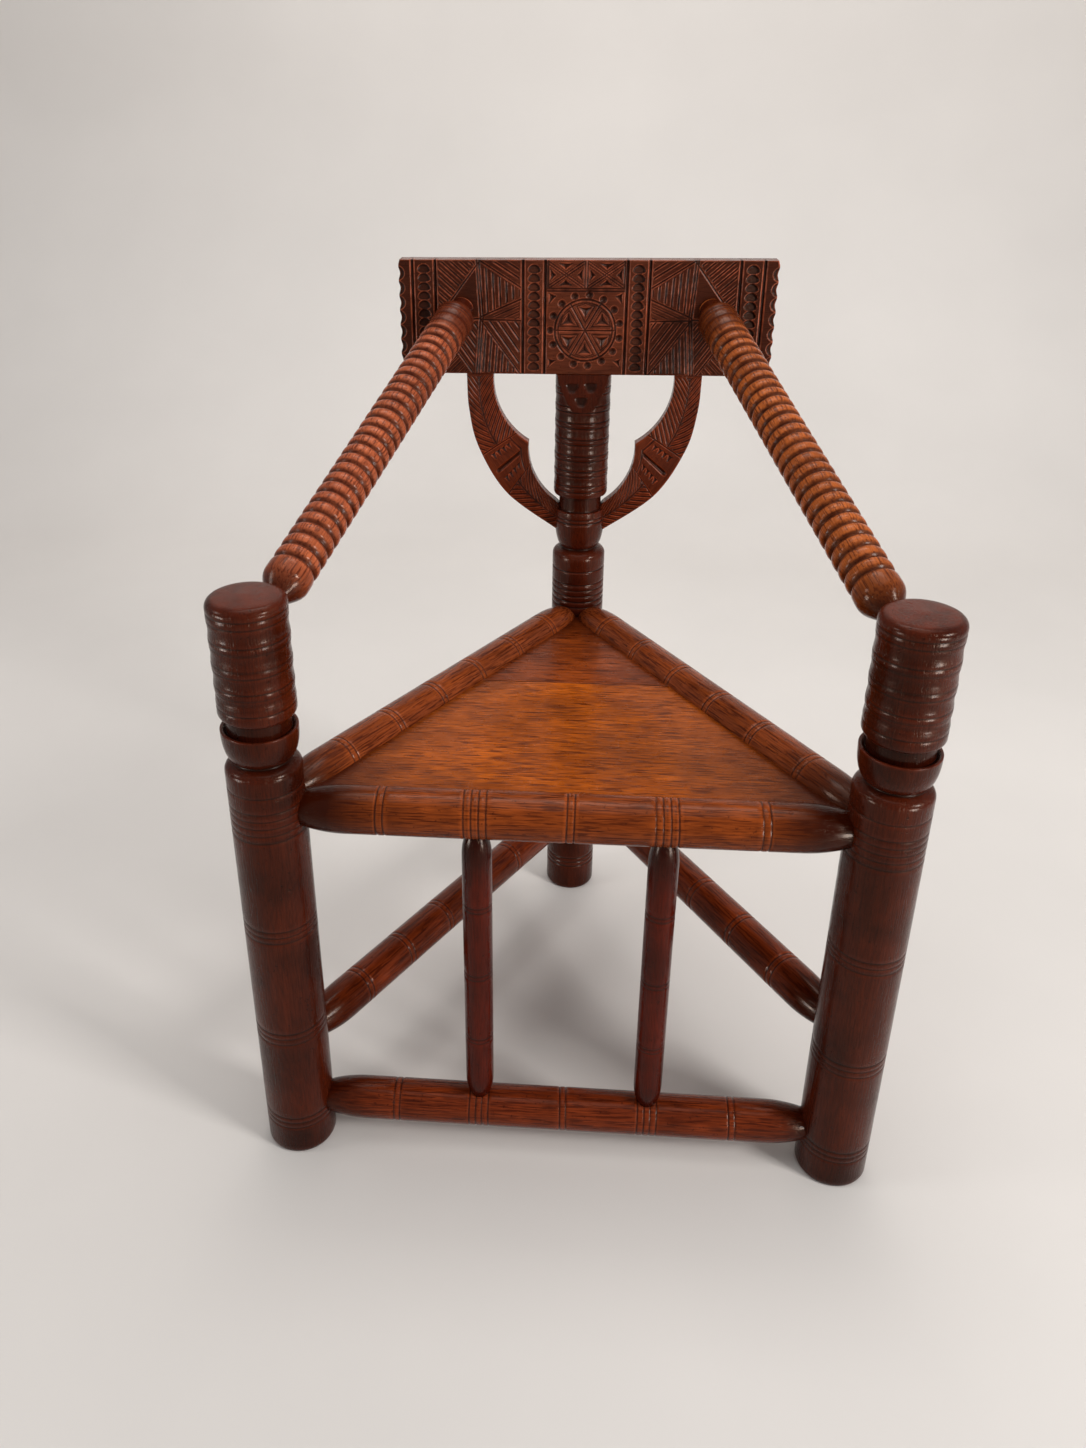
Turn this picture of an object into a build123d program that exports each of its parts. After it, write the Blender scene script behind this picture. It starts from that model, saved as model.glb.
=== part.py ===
from build123d import *
import math
import os

os.makedirs("parts", exist_ok=True)

# Driving dimensions in millimetres. Z is up, the sitter faces -Y, the floor is Z = 0.
FRONT_SPACING = 590.0  # between the axes of the two front posts
BACK_SETBACK = 480.0  # back post axis behind the front post axes
FRONT_POST_D = 75.0
BACK_POST_D = 68.0
FRONT_POST_H = 664.0
SEAT_RAIL_Z = 438.0
SEAT_RAIL_D = 48.0
SEAT_UP = 7.0  # top of the seat above the rail axes
SEAT_THICK = 16.0
SEAT_JOINT_SETBACK = 262.0  # joint of the two planks behind the front post axes
STRETCHER_D = 45.0
FRONT_STRETCHER_Z = 52.0
LEFT_STRETCHER_Z = 129.0
RIGHT_STRETCHER_Z = 182.0
SPINDLE_D = 30.0
SPINDLE_X = 91.0
ARM_D = 47.0
ARM_POST_DROP = 43.0  # arm axis crosses the front post axis this far below the post's top
ARM_CREST_X = 147.0  # where the arm axis meets the crest's front face
ARM_CREST_UP = 77.0  # above the crest's lower edge
CREST_W = 443.0
CREST_H = 133.0
CREST_THICK = 22.0
CREST_BOTTOM_Z = 756.5
BRACE_THICK = 16.0

# Brace outline from its top at the crest: distance from the chair's middle and drop
BRACE_OUTER_X = 142.5
BRACE_INNER_X = 109.5
BRACE_OUTER = ((128.5, 94.0), (93.5, 152.5), (31.0, 199.0))
BRACE_CUSP = (66.0, 86.0)
BRACE_INNER_HIGH = (97.0, 55.0)
BRACE_INNER_LOW = (57.0, 132.0)
BRACE_INNER_END = (31.0, 162.0)

# Joinery
FIT = 0.15  # gap all round a tenon in its mortise
END_GAP = 0.3  # gap at the blind end of a mortise
RAIL_TENON_R = 11.0
ARM_TENON_R = 10.0
SPINDLE_TENON_R = 8.0
STRETCHER_TENON_END = 8.0  # tenon ends stop this far from the post axis
ARM_TENON_END = 8.0
ARM_CREST_DEPTH = 12.0  # along the arm axis, into the crest
SPINDLE_DEPTH = 18.0
SEAT_INSET = 14.0  # seat edges stop this far inside the rail axes
SEAT_POST_GAP = 0.3
TONGUE_THICK = 4.0
TONGUE_W = 12.0
HEAD_TENON = (46.0, 10.0, 70.0)  # width, thickness and height of the back post's tenon
CREST_PEG_OUT = 0.28  # crest pegs from the middle, over the tenon's width
MORTISE_LIP = 1.5  # wood left between two tenons that meet in a corner
BRACE_TENON_T = 8.0
BRACE_TENON_DEEP = 15.0  # into the post
BRACE_TENON_DROPS = (168.0, 192.0)  # its top and bottom below the crest
BRACE_TENON_W = 18.0  # at the crest
BRACE_TENON_UP = 25.0  # into the crest
CREST_PEG_R = 4.0
BRACE_PEG_R = 3.0
PEG_BEYOND = 2.0  # peg ends run this far past the tenon

# Turned ornament
LINE_W = 2.4  # width of a scribed line
LINE_DEPTH = 1.0
PAIR_STEP = 7.0  # between the two lines of a pair
FRONT_PAIRS_OUT = 0.3085  # outer pairs on the front rails, from the middle over the post spacing
SIDE_LINES = (6, 0.186, 0.1315)  # pairs on a side rail: count, first place and pitch over its length
SPINDLE_LINES = (0.25, 5.0, 0.6, 1.6)  # pairs on a spindle: pitch over its length, step, depth, width
ARM_RINGS = 28
ARM_RING_DEPTH = 2.2
ARM_RING_W = 0.45  # ring groove width over the pitch
ARM_BULB = 40.0  # length of the rounded bulb at the post
ARM_NECK = 1.3  # neck radius over the tenon radius
RAIL_TAPER = 46.0  # length of a rail's tapered end
RAIL_NOSE = 0.7  # radius at a rail's end over its full radius
SPINDLE_TAPER = 26.0
SPINDLE_NOSE = 0.66
COPE = 6.0  # turned ends run this far into the neighbour before they are coped to it
FOOT_BEVEL = (2.0, 4.0)  # across and up
SHOULDER = (6.0, 8.0)  # rounding at the top of a shaft, across and down
SHAFT_RINGS = (0.09, 0.34, 0.615)  # groups of lines on a shaft, over its height
SHAFT_TOP_LINES = (58.0, 5, 8.0)  # group under the shoulder: drop, count and step
TOP_ROUND = 5.0  # rounded edge of a front post's top
DRUM_EDGE = (1.5, 3.0)  # eased lower edge of a drum, across and up
FRONT_DRUM_DROP = 119.0  # parts of the front post's head below its top
FRONT_RIM_DROP = 134.0
FRONT_CUP_DROP = 167.0
FRONT_SHAFT_DROP = 171.0
FRONT_RING_DROPS = (16.0, 41.0, 64.0, 87.0, 103.0)
FRONT_NECK = 6.5  # neck inside the full radius
FRONT_CUP = (6.0, 0.8)  # cup inside the full radius at its foot and rim
BACK_DRUM_DROP = 152.0  # parts of the back post's head below the crest
BACK_RIM_DROP = 172.0
BACK_CUP_DROP = 222.0
BACK_SHAFT_DROP = 226.0
BACK_RING_DROPS = (17.0, 38.0, 58.0, 79.0, 100.0, 120.0, 140.0)
BACK_NECK = 7.5
BACK_CUP = (8.0, 2.0)
BACK_LIP = 4.0  # straight lip at the cup's rim
FACET_DROP = 44.0  # foot of the pared facets below the crest
FACET_CLEAR = 2.0  # facets end this far outside the crest's faces

# Derived positions
FRONT_R = FRONT_POST_D / 2
BACK_R = BACK_POST_D / 2
DEPTH = FRONT_R + BACK_SETBACK + BACK_R
FRONT_Y = -DEPTH / 2 + FRONT_R
BACK_Y = DEPTH / 2 - BACK_R
RAIL_R = SEAT_RAIL_D / 2
STRETCHER_R = STRETCHER_D / 2
SPINDLE_R = SPINDLE_D / 2
ARM_R = ARM_D / 2
SEAT_TOP_Z = SEAT_RAIL_Z + SEAT_UP
SEAT_BOTTOM_Z = SEAT_TOP_Z - SEAT_THICK
SEAT_JOINT_Y = FRONT_Y + SEAT_JOINT_SETBACK
CREST_TOP_Z = CREST_BOTTOM_Z + CREST_H
CREST_FACE_Y = BACK_Y - CREST_THICK / 2
BRACE_TOP_X = (BRACE_OUTER_X + BRACE_INNER_X) / 2
LEFT = Vector(-FRONT_SPACING / 2, FRONT_Y, 0)
RIGHT = Vector(FRONT_SPACING / 2, FRONT_Y, 0)
BACK = Vector(0, BACK_Y, 0)
FRONT_CORNER = math.atan2(BACK_SETBACK, FRONT_SPACING / 2)
BACK_CORNER = math.pi - 2 * FRONT_CORNER
STANDING = (Align.CENTER, Align.CENTER, Align.MIN)


def at_height(point, z):
    """The same plan position at another height."""
    return Vector(point.X, point.Y, z)


def turned(start, moves):
    """Solid of revolution about Z. Points are (radius, height); a move of four numbers is an arc
    through its first point to its second."""
    edges = []
    here = start
    for move in moves:
        there = move[-2:]
        if len(move) == 4:
            edges.append(ThreePointArc((here[0], 0, here[1]), (move[0], 0, move[1]), (there[0], 0, there[1])))
        else:
            edges.append(Line((here[0], 0, here[1]), (there[0], 0, there[1])))
        here = there
    edges.append(Line((here[0], 0, here[1]), (0, 0, here[1])))
    edges.append(Line((0, 0, here[1]), (0, 0, start[1])))
    edges.append(Line((0, 0, start[1]), (start[0], 0, start[1])))
    return revolve(make_face(edges), Axis.Z)


def scribed(radius, heights, depth=LINE_DEPTH, width=LINE_W):
    """Moves up a cylinder that dip into a V at each of the heights."""
    moves = []
    for z in sorted(heights):
        moves.append((radius, z - width / 2))
        moves.append((radius - depth, z))
        moves.append((radius, z + width / 2))
    return moves


def swell(full, z_full, small, z_small):
    """Middle point of the arc between a cylinder and a smaller radius, tangent to the cylinder."""
    drop = full - small
    run = z_small - z_full
    bend = (drop * drop + run * run) / (2 * drop)
    half = math.atan2(abs(run), bend - drop) / 2
    return full - bend + bend * math.cos(half), z_full + math.copysign(bend * math.sin(half), run)


def ease_out(full, z_full, small, z_small):
    """Arc move that leaves a cylinder for a smaller radius."""
    return swell(full, z_full, small, z_small) + (small, z_small)


def ease_in(full, z_full, small, z_small):
    """Arc move that comes from a smaller radius to a cylinder."""
    return swell(full, z_full, small, z_small) + (full, z_full)


def group(centre, count, step=PAIR_STEP):
    """Heights of a group of lines spaced evenly about a centre."""
    return [centre + step * (i - (count - 1) / 2) for i in range(count)]


def between(piece, foot, head):
    """A piece turned about Z from height 0 upwards, laid along the line from foot to head."""
    return Plane(origin=foot, z_dir=head - foot).location * piece


def rod(foot, head, radius):
    """A plain cylinder from foot to head."""
    return between(Cylinder(radius, (head - foot).length, align=STANDING), foot, head)


def upright(centre, radius, height):
    """A plain standing cylinder from the floor."""
    return Pos(centre.X, centre.Y, 0) * Cylinder(radius, height, align=STANDING)


def box(x_range, y_range, z_range):
    """A box given by its limits."""
    size = [high - low for low, high in (x_range, y_range, z_range)]
    middle = [(high + low) / 2 for low, high in (x_range, y_range, z_range)]
    return Pos(*middle) * Box(*size)


def prism(points, z_low, z_high):
    """A plan outline extruded from one height to another."""
    face = make_face(Polyline([(p.X, p.Y, z_low) for p in points], close=True))
    return extrude(face, amount=z_high - z_low, dir=(0, 0, 1))


def inset_triangle(distance):
    """Corners of the triangle of post axes after every side moves inwards by a distance."""
    sides = [(RIGHT - BACK).length, (BACK - LEFT).length, (LEFT - RIGHT).length]
    centre = (LEFT * sides[0] + RIGHT * sides[1] + BACK * sides[2]) * (1 / sum(sides))
    inradius = FRONT_SPACING * BACK_SETBACK / sum(sides)
    return [centre + (p - centre) * ((inradius - distance) / inradius) for p in (LEFT, RIGHT, BACK)]


def corner_stop(angle):
    """Distance from the post axis at which two equal tenons at an angle stay clear of each other."""
    return (RAIL_TENON_R + 2 * FIT) / math.tan(angle / 2) + MORTISE_LIP


RAIL_STOP_FRONT = corner_stop(FRONT_CORNER)
RAIL_STOP_BACK = corner_stop(BACK_CORNER)


def toward(foot, head, distance):
    """The point a distance along the line from foot to head."""
    return foot + (head - foot).normalized() * distance


def arm_line(side):
    """Axis of an arm: where it crosses the front post axis and where it meets the crest face."""
    foot = Vector(side * FRONT_SPACING / 2, FRONT_Y, FRONT_POST_H - ARM_POST_DROP)
    head = Vector(side * ARM_CREST_X, CREST_FACE_Y, CREST_BOTTOM_Z + ARM_CREST_UP)
    return foot, head


def members(side):
    """Round members that enter a front post: foot, head, tenon radius and stop from the post axis."""
    here = LEFT if side < 0 else RIGHT
    other = RIGHT if side < 0 else LEFT
    side_z = LEFT_STRETCHER_Z if side < 0 else RIGHT_STRETCHER_Z
    holes = [arm_line(side) + (ARM_TENON_R, ARM_TENON_END)]
    for far, z, stop in (
        (other, SEAT_RAIL_Z, RAIL_STOP_FRONT),
        (BACK, SEAT_RAIL_Z, RAIL_STOP_FRONT),
        (other, FRONT_STRETCHER_Z, STRETCHER_TENON_END),
        (BACK, side_z, STRETCHER_TENON_END),
    ):
        holes.append((at_height(here, z), at_height(far, z), RAIL_TENON_R, stop))
    return holes


def mortise(foot, head, radius, stop):
    """The hole for a tenon that stops a distance from the foot, out to well past the surface."""
    return rod(toward(foot, head, stop - END_GAP), toward(foot, head, stop + 2 * FRONT_POST_D), radius + FIT)


def shaft_moves(radius, top):
    """Moves up a post's shaft: bevelled foot, groups of lines and a rounded shoulder."""
    across, down = SHOULDER
    lines = [z for share in SHAFT_RINGS for z in group(share * top, 3)]
    drop, count, step = SHAFT_TOP_LINES
    lines += group(top - drop, count, step)
    moves = [(radius, FOOT_BEVEL[1])]
    moves += scribed(radius, lines)
    moves += [(radius, top - down), ease_out(radius, top - down, radius - across, top)]
    return moves


def drum_moves(radius, low, ring_heights):
    """Moves from the neck out to the ringed drum and up it."""
    lines = [z for ring in ring_heights for z in group(ring, 2)]
    across, up = DRUM_EDGE
    return [(radius - across, low), (radius, low + up)] + scribed(radius, lines)


def front_post(side):
    """Front post: scribed shaft, rounded shoulder, cup, neck and a ringed drum."""
    r = FRONT_R
    top = FRONT_POST_H
    rim = top - FRONT_RIM_DROP
    cup = top - FRONT_CUP_DROP
    drum = top - FRONT_DRUM_DROP
    moves = shaft_moves(r, top - FRONT_SHAFT_DROP)
    foot_in, rim_in = FRONT_CUP
    moves += [(r - foot_in, cup), ease_in(r - rim_in, rim, r - foot_in, cup)]
    moves += [(r - FRONT_NECK, rim), (r - FRONT_NECK, drum)]
    moves += drum_moves(r, drum, [top - drop for drop in FRONT_RING_DROPS])
    moves += [(r, top - TOP_ROUND), ease_out(r, top - TOP_ROUND, r - TOP_ROUND, top)]
    post = Pos(LEFT.X if side < 0 else RIGHT.X, FRONT_Y, 0) * turned((r - FOOT_BEVEL[0], 0), moves)
    for member in members(side):
        post -= mortise(*member)
    return post


def back_post_turning(head):
    """The back post's turning up to the height of its head."""
    r = BACK_R
    rim = head - BACK_RIM_DROP
    cup = head - BACK_CUP_DROP
    drum = head - BACK_DRUM_DROP
    moves = shaft_moves(r, head - BACK_SHAFT_DROP)
    foot_in, rim_in = BACK_CUP
    moves += [(r - foot_in, cup), ease_in(r - rim_in, rim - BACK_LIP, r - foot_in, cup), (r - rim_in, rim)]
    moves += [(r - BACK_NECK, rim), (r - BACK_NECK, drum)]
    moves += drum_moves(r, drum, [head - drop for drop in BACK_RING_DROPS])
    moves += [(r, head)]
    return Pos(0, BACK_Y, 0) * turned((r - FOOT_BEVEL[0], 0), moves)


def pared_facets():
    """Wedges pared off the front and rear of the back post's head, down to the crest's thickness."""
    low = CREST_BOTTOM_Z - FACET_DROP
    outside = BACK_R + 1
    inside = CREST_THICK / 2 + FACET_CLEAR
    wedges = []
    for way in (-1, 1):
        corners = ((outside, low), (outside, CREST_BOTTOM_Z), (inside, CREST_BOTTOM_Z))
        outline = [(0, way * y, z) for y, z in corners]
        face = Pos(0, BACK_Y, 0) * make_face(Polyline(outline, close=True))
        wedges.append(extrude(face, amount=BACK_R + 1, dir=(1, 0, 0), both=True))
    return wedges


def head_tenon(gap):
    """Tenon on the back post that enters the crest from below, grown by a gap for its mortise."""
    width, thick, height = HEAD_TENON
    top = CREST_BOTTOM_Z + height + (END_GAP if gap else 0)
    half_w = width / 2 + gap
    half_t = thick / 2 + gap
    return box((-half_w, half_w), (BACK_Y - half_t, BACK_Y + half_t), (CREST_BOTTOM_Z, top))


def brace_tenons(side, gap):
    """The brace's tenon into the post and its tenon into the crest, grown by a gap for mortises."""
    half_t = BRACE_TENON_T / 2 + gap
    y_range = (BACK_Y - half_t, BACK_Y + half_t)
    end_gap = END_GAP if gap else 0
    inner = BACK_R - SHOULDER[0] / 2 - BRACE_TENON_DEEP - end_gap
    outer = BACK_R + COPE
    high, low = [CREST_BOTTOM_Z - drop for drop in BRACE_TENON_DROPS]
    into_post = box(sorted((side * inner, side * outer)), y_range, (low - gap, high + gap))
    middle = side * BRACE_TOP_X
    half_w = BRACE_TENON_W / 2 + gap
    up = CREST_BOTTOM_Z + BRACE_TENON_UP + end_gap
    into_crest = box((middle - half_w, middle + half_w), y_range, (CREST_BOTTOM_Z - COPE, up))
    return into_post, into_crest


def brace(side):
    """Curved brace with a cusp on its inner edge, shaped to the post and tenoned at both ends."""

    def place(point):
        return (side * point[0], 0, CREST_BOTTOM_Z - point[1])

    outer_top = place((BRACE_OUTER_X, 0))
    inner_top = place((BRACE_INNER_X, 0))
    core = side * (BACK_R - 2 * BACK_NECK)
    outline = [
        Spline([outer_top] + [place(p) for p in BRACE_OUTER], tangents=[(0, 0, -1), (-side, 0, -0.55)]),
        Line(place(BRACE_OUTER[-1]), (core, 0, place(BRACE_OUTER[-1])[2])),
        Line((core, 0, place(BRACE_OUTER[-1])[2]), (core, 0, place(BRACE_INNER_END)[2])),
        Line((core, 0, place(BRACE_INNER_END)[2]), place(BRACE_INNER_END)),
        ThreePointArc(place(BRACE_INNER_END), place(BRACE_INNER_LOW), place(BRACE_CUSP)),
        ThreePointArc(place(BRACE_CUSP), place(BRACE_INNER_HIGH), inner_top),
        Line(inner_top, outer_top),
    ]
    face = Pos(0, BACK_Y, 0) * make_face(outline)
    board = extrude(face, amount=BRACE_THICK / 2, dir=(0, 1, 0), both=True)
    board -= back_post_turning(CREST_BOTTOM_Z)
    into_post, into_crest = brace_tenons(side, 0)
    board = board + into_post + into_crest
    return board - brace_peg(side, FIT)


def back_post():
    """Back post: scribed shaft, cup, neck, ringed drum, pared head with a tenon."""
    post = back_post_turning(CREST_BOTTOM_Z)
    for wedge in pared_facets():
        post -= wedge
    post += head_tenon(0)
    for side in (-1, 1):
        post -= brace_tenons(side, FIT)[0]
        post -= crest_peg(side, FIT)
        here = LEFT if side < 0 else RIGHT
        side_z = LEFT_STRETCHER_Z if side < 0 else RIGHT_STRETCHER_Z
        for z, stop in ((SEAT_RAIL_Z, RAIL_STOP_BACK), (side_z, STRETCHER_TENON_END)):
            post -= mortise(at_height(BACK, z), at_height(here, z), RAIL_TENON_R, stop)
    return post


def round_rail(foot, head, radius, stops, lines, post_radii):
    """A turned rail between two post axes: bullet-nosed ends coped to the posts, with tenons."""
    length = (head - foot).length
    nose = RAIL_NOSE * radius
    start = post_radii[0] - COPE
    end = length - post_radii[1] + COPE
    moves = [ease_in(radius, start + RAIL_TAPER, nose, start)]
    moves += scribed(radius, lines)
    moves += [(radius, end - RAIL_TAPER), ease_out(radius, end - RAIL_TAPER, nose, end)]
    rail = between(turned((nose, start), moves), foot, head)
    for centre, post_radius in ((foot, post_radii[0]), (head, post_radii[1])):
        rail -= upright(centre, post_radius + FIT, CREST_TOP_Z)
    tenon_foot = toward(foot, head, stops[0])
    tenon_head = toward(head, foot, stops[1])
    return rail + rod(tenon_foot, tenon_head, RAIL_TENON_R)


def front_lines():
    """Places of the lines along a front rail: pairs at the middle and ends, fours at the spindles."""
    middle = FRONT_SPACING / 2
    places = group(middle, 2)
    for side in (-1, 1):
        places += group(middle + side * SPINDLE_X, 4)
        places += group(middle + side * FRONT_PAIRS_OUT * FRONT_SPACING, 2)
    return places


def side_lines():
    """Places of the pairs of lines along a side rail, from its front post axis."""
    length = (BACK - LEFT).length
    count, first, pitch = SIDE_LINES
    return [z for i in range(count) for z in group((first + i * pitch) * length, 2)]


def seat_groove():
    """The space of the seat inside the rails; the planks rest on the groove's lower face."""
    return prism(inset_triangle(SEAT_INSET - END_GAP), SEAT_BOTTOM_Z, SEAT_TOP_Z + END_GAP)


def front_rail(z, radius, stop):
    """A round member between the two front posts."""
    foot = at_height(LEFT, z)
    head = at_height(RIGHT, z)
    return round_rail(foot, head, radius, (stop, stop), front_lines(), (FRONT_R, FRONT_R))


def side_rail(side, z, radius, stops):
    """A round member between a front post and the back post."""
    foot = at_height(LEFT if side < 0 else RIGHT, z)
    return round_rail(foot, at_height(BACK, z), radius, stops, side_lines(), (FRONT_R, BACK_R))


def spindle_axis(side):
    """Foot and head of a spindle on the axes of the front stretcher and the front seat rail."""
    x = side * SPINDLE_X
    return Vector(x, FRONT_Y, FRONT_STRETCHER_Z), Vector(x, FRONT_Y, SEAT_RAIL_Z)


def spindle_tenon(side, gap):
    """The spindle's round tenon from stretcher to seat rail, grown by a gap for its mortises."""
    foot, head = spindle_axis(side)
    end_gap = END_GAP if gap else 0
    low = toward(foot, head, STRETCHER_R - SPINDLE_DEPTH - end_gap)
    high = toward(head, foot, RAIL_R - SPINDLE_DEPTH - end_gap)
    return rod(low, high, SPINDLE_TENON_R + gap)


def spindle(side):
    """Spindle with rounded ends and three pairs of faint lines."""
    foot, head = spindle_axis(side)
    length = (head - foot).length
    start = STRETCHER_R - COPE / 2
    end = length - RAIL_R + COPE / 2
    nose = SPINDLE_NOSE * SPINDLE_R
    middle = (start + end) / 2
    pitch, step, deep, wide = SPINDLE_LINES
    lines = [z for i in (-1, 0, 1) for z in group(middle + i * pitch * (end - start), 2, step)]
    moves = [ease_in(SPINDLE_R, start + SPINDLE_TAPER, nose, start)]
    moves += scribed(SPINDLE_R, lines, depth=deep, width=wide)
    moves += [(SPINDLE_R, end - SPINDLE_TAPER), ease_out(SPINDLE_R, end - SPINDLE_TAPER, nose, end)]
    body = between(turned((nose, start), moves), foot, head)
    body -= rod(at_height(LEFT, FRONT_STRETCHER_Z), at_height(RIGHT, FRONT_STRETCHER_Z), STRETCHER_R + FIT)
    body -= rod(at_height(LEFT, SEAT_RAIL_Z), at_height(RIGHT, SEAT_RAIL_Z), RAIL_R + FIT)
    return body + spindle_tenon(side, 0)


def arm(side):
    """Arm with close rings, a rounded bulb at the post and a short neck at the crest."""
    foot, head = arm_line(side)
    length = (head - foot).length
    slope = length / math.hypot(head.X - foot.X, head.Y - foot.Y)
    neck = ARM_NECK * ARM_TENON_R
    start = FRONT_R * slope - COPE
    bulb_full = start + ARM_BULB
    ring_low = bulb_full + 0.35 * ARM_BULB
    ring_high = length - ARM_BULB
    body_end = length - ARM_R
    pitch = (ring_high - ring_low) / (ARM_RINGS - 1)
    rings = [ring_low + i * pitch for i in range(ARM_RINGS)]
    moves = [(neck, start + 1.5 * COPE), ease_in(ARM_R, bulb_full, neck, start + 1.5 * COPE)]
    moves += scribed(ARM_R, rings, depth=ARM_RING_DEPTH, width=ARM_RING_W * pitch)
    moves += [(ARM_R, body_end), ease_out(ARM_R, body_end, neck, length - 1.5 * COPE), (neck, length + COPE)]
    body = between(turned((neck, start), moves), foot, head)
    body -= upright(at_height(foot, 0), FRONT_R + FIT, CREST_TOP_Z)
    reach = CREST_W / 2
    body -= box((-reach, reach), (CREST_FACE_Y - FIT, BACK_Y + CREST_THICK), (CREST_BOTTOM_Z, CREST_TOP_Z))
    tenon_end = head + (head - foot).normalized() * ARM_CREST_DEPTH
    return body + rod(toward(foot, head, ARM_TENON_END), tenon_end, ARM_TENON_R)


def arm_mortise(side):
    """The slanting hole in the crest for an arm's tenon."""
    foot, head = arm_line(side)
    along = (head - foot).normalized()
    return rod(head - along * 3 * ARM_TENON_R, head + along * (ARM_CREST_DEPTH + END_GAP), ARM_TENON_R + FIT)


def crest_peg(side, gap):
    """A peg from the crest's rear face through the back post's tenon, grown by a gap for its hole."""
    x = side * HEAD_TENON[0] * CREST_PEG_OUT
    z = CREST_BOTTOM_Z + HEAD_TENON[2] / 2
    end = Vector(x, BACK_Y - HEAD_TENON[1] / 2 - PEG_BEYOND - (END_GAP if gap else 0), z)
    return rod(end, Vector(x, BACK_Y + CREST_THICK / 2, z), CREST_PEG_R + gap)


def brace_peg(side, gap):
    """A peg from the crest's rear face through a brace's upper tenon, grown by a gap for its hole."""
    x = side * BRACE_TOP_X
    z = CREST_BOTTOM_Z + BRACE_TENON_UP / 2
    end = Vector(x, BACK_Y - BRACE_TENON_T / 2 - PEG_BEYOND - (END_GAP if gap else 0), z)
    return rod(end, Vector(x, BACK_Y + CREST_THICK / 2, z), BRACE_PEG_R + gap)


def crest_board():
    """Crest board with mortises for the post, the braces and the arms, and peg holes behind."""
    half = CREST_W / 2
    board = box((-half, half), (CREST_FACE_Y, BACK_Y + CREST_THICK / 2), (CREST_BOTTOM_Z, CREST_TOP_Z))
    board -= head_tenon(FIT)
    for side in (-1, 1):
        board -= brace_tenons(side, FIT)[1]
        board -= arm_mortise(side)
        board -= crest_peg(side, FIT)
        board -= brace_peg(side, FIT)
    return board


def tongue(gap):
    """Loose tongue across the joint of the seat planks, grown by a gap for its grooves."""
    corners = inset_triangle(SEAT_INSET)
    rise = (SEAT_JOINT_Y - corners[0].Y) / (corners[2].Y - corners[0].Y)
    half_l = corners[1].X * (1 - rise) - TONGUE_W + gap
    half_w = TONGUE_W / 2 + (END_GAP if gap else 0)
    middle = (SEAT_TOP_Z + SEAT_BOTTOM_Z) / 2
    half_t = TONGUE_THICK / 2
    y_range = (SEAT_JOINT_Y - half_w, SEAT_JOINT_Y + half_w)
    return box((-half_l, half_l), y_range, (middle - half_t, middle + half_t + gap))


def seat_board(front):
    """One seat plank: its share of the triangle, notched round the posts and grooved for the tongue."""
    corners = inset_triangle(SEAT_INSET)
    board = prism(corners, SEAT_BOTTOM_Z, SEAT_TOP_Z)
    y_range = (FRONT_Y, SEAT_JOINT_Y) if front else (SEAT_JOINT_Y, BACK_Y)
    board &= box((-FRONT_SPACING / 2, FRONT_SPACING / 2), y_range, (SEAT_BOTTOM_Z, SEAT_TOP_Z))
    for centre, radius in ((LEFT, FRONT_R), (RIGHT, FRONT_R), (BACK, BACK_R)):
        board -= upright(centre, radius + SEAT_POST_GAP, CREST_BOTTOM_Z)
    return board - tongue(FIT)


def front_seat_rail():
    """Front seat rail with its seat groove and the spindles' mortises."""
    rail = front_rail(SEAT_RAIL_Z, RAIL_R, RAIL_STOP_FRONT) - seat_groove()
    for side in (-1, 1):
        rail -= spindle_tenon(side, FIT)
    return rail


def front_stretcher():
    """Front stretcher with the spindles' mortises."""
    rail = front_rail(FRONT_STRETCHER_Z, STRETCHER_R, STRETCHER_TENON_END)
    for side in (-1, 1):
        rail -= spindle_tenon(side, FIT)
    return rail


def side_seat_rail(side):
    """Side seat rail with its seat groove."""
    return side_rail(side, SEAT_RAIL_Z, RAIL_R, (RAIL_STOP_FRONT, RAIL_STOP_BACK)) - seat_groove()


def side_stretcher(side):
    """Side stretcher; the two sides stand at different heights so their tenons clear."""
    z = LEFT_STRETCHER_Z if side < 0 else RIGHT_STRETCHER_Z
    return side_rail(side, z, STRETCHER_R, (STRETCHER_TENON_END, STRETCHER_TENON_END))


def save(name, *solids):
    """Write one node; several solids stay separate in a compound."""
    shape = solids[0] if len(solids) == 1 else Compound(children=list(solids))
    export_step(shape, f"parts/{name}.step")


save("back_post", back_post())
save("front_seat_rail", front_seat_rail())
save("front_stretcher", front_stretcher())
save("seat_board_front", seat_board(True))
save("seat_board_back", seat_board(False))
save("seat_tongue", tongue(0))
save("crest_board", crest_board())
save("crest_pegs", crest_peg(-1, 0), crest_peg(1, 0))
save("brace_pegs", brace_peg(-1, 0), brace_peg(1, 0))
for side, word in ((-1, "left"), (1, "right")):
    save(f"front_post_{word}", front_post(side))
    save(f"side_seat_rail_{word}", side_seat_rail(side))
    save(f"side_stretcher_{word}", side_stretcher(side))
    save(f"spindle_{word}", spindle(side))
    save(f"arm_{word}", arm(side))
    save(f"brace_{word}", brace(side))
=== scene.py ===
"""A triangular turned armchair with a chip-carved crest, dressed in old stained oak around its CAD frame.

Lengths inside the shape functions are millimetres; meshes are written in metres.
"""

import math

import bpy
import numpy as np
from bpy.props import FloatProperty, FloatVectorProperty, PointerProperty
from mathutils import Matrix, Vector


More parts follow.
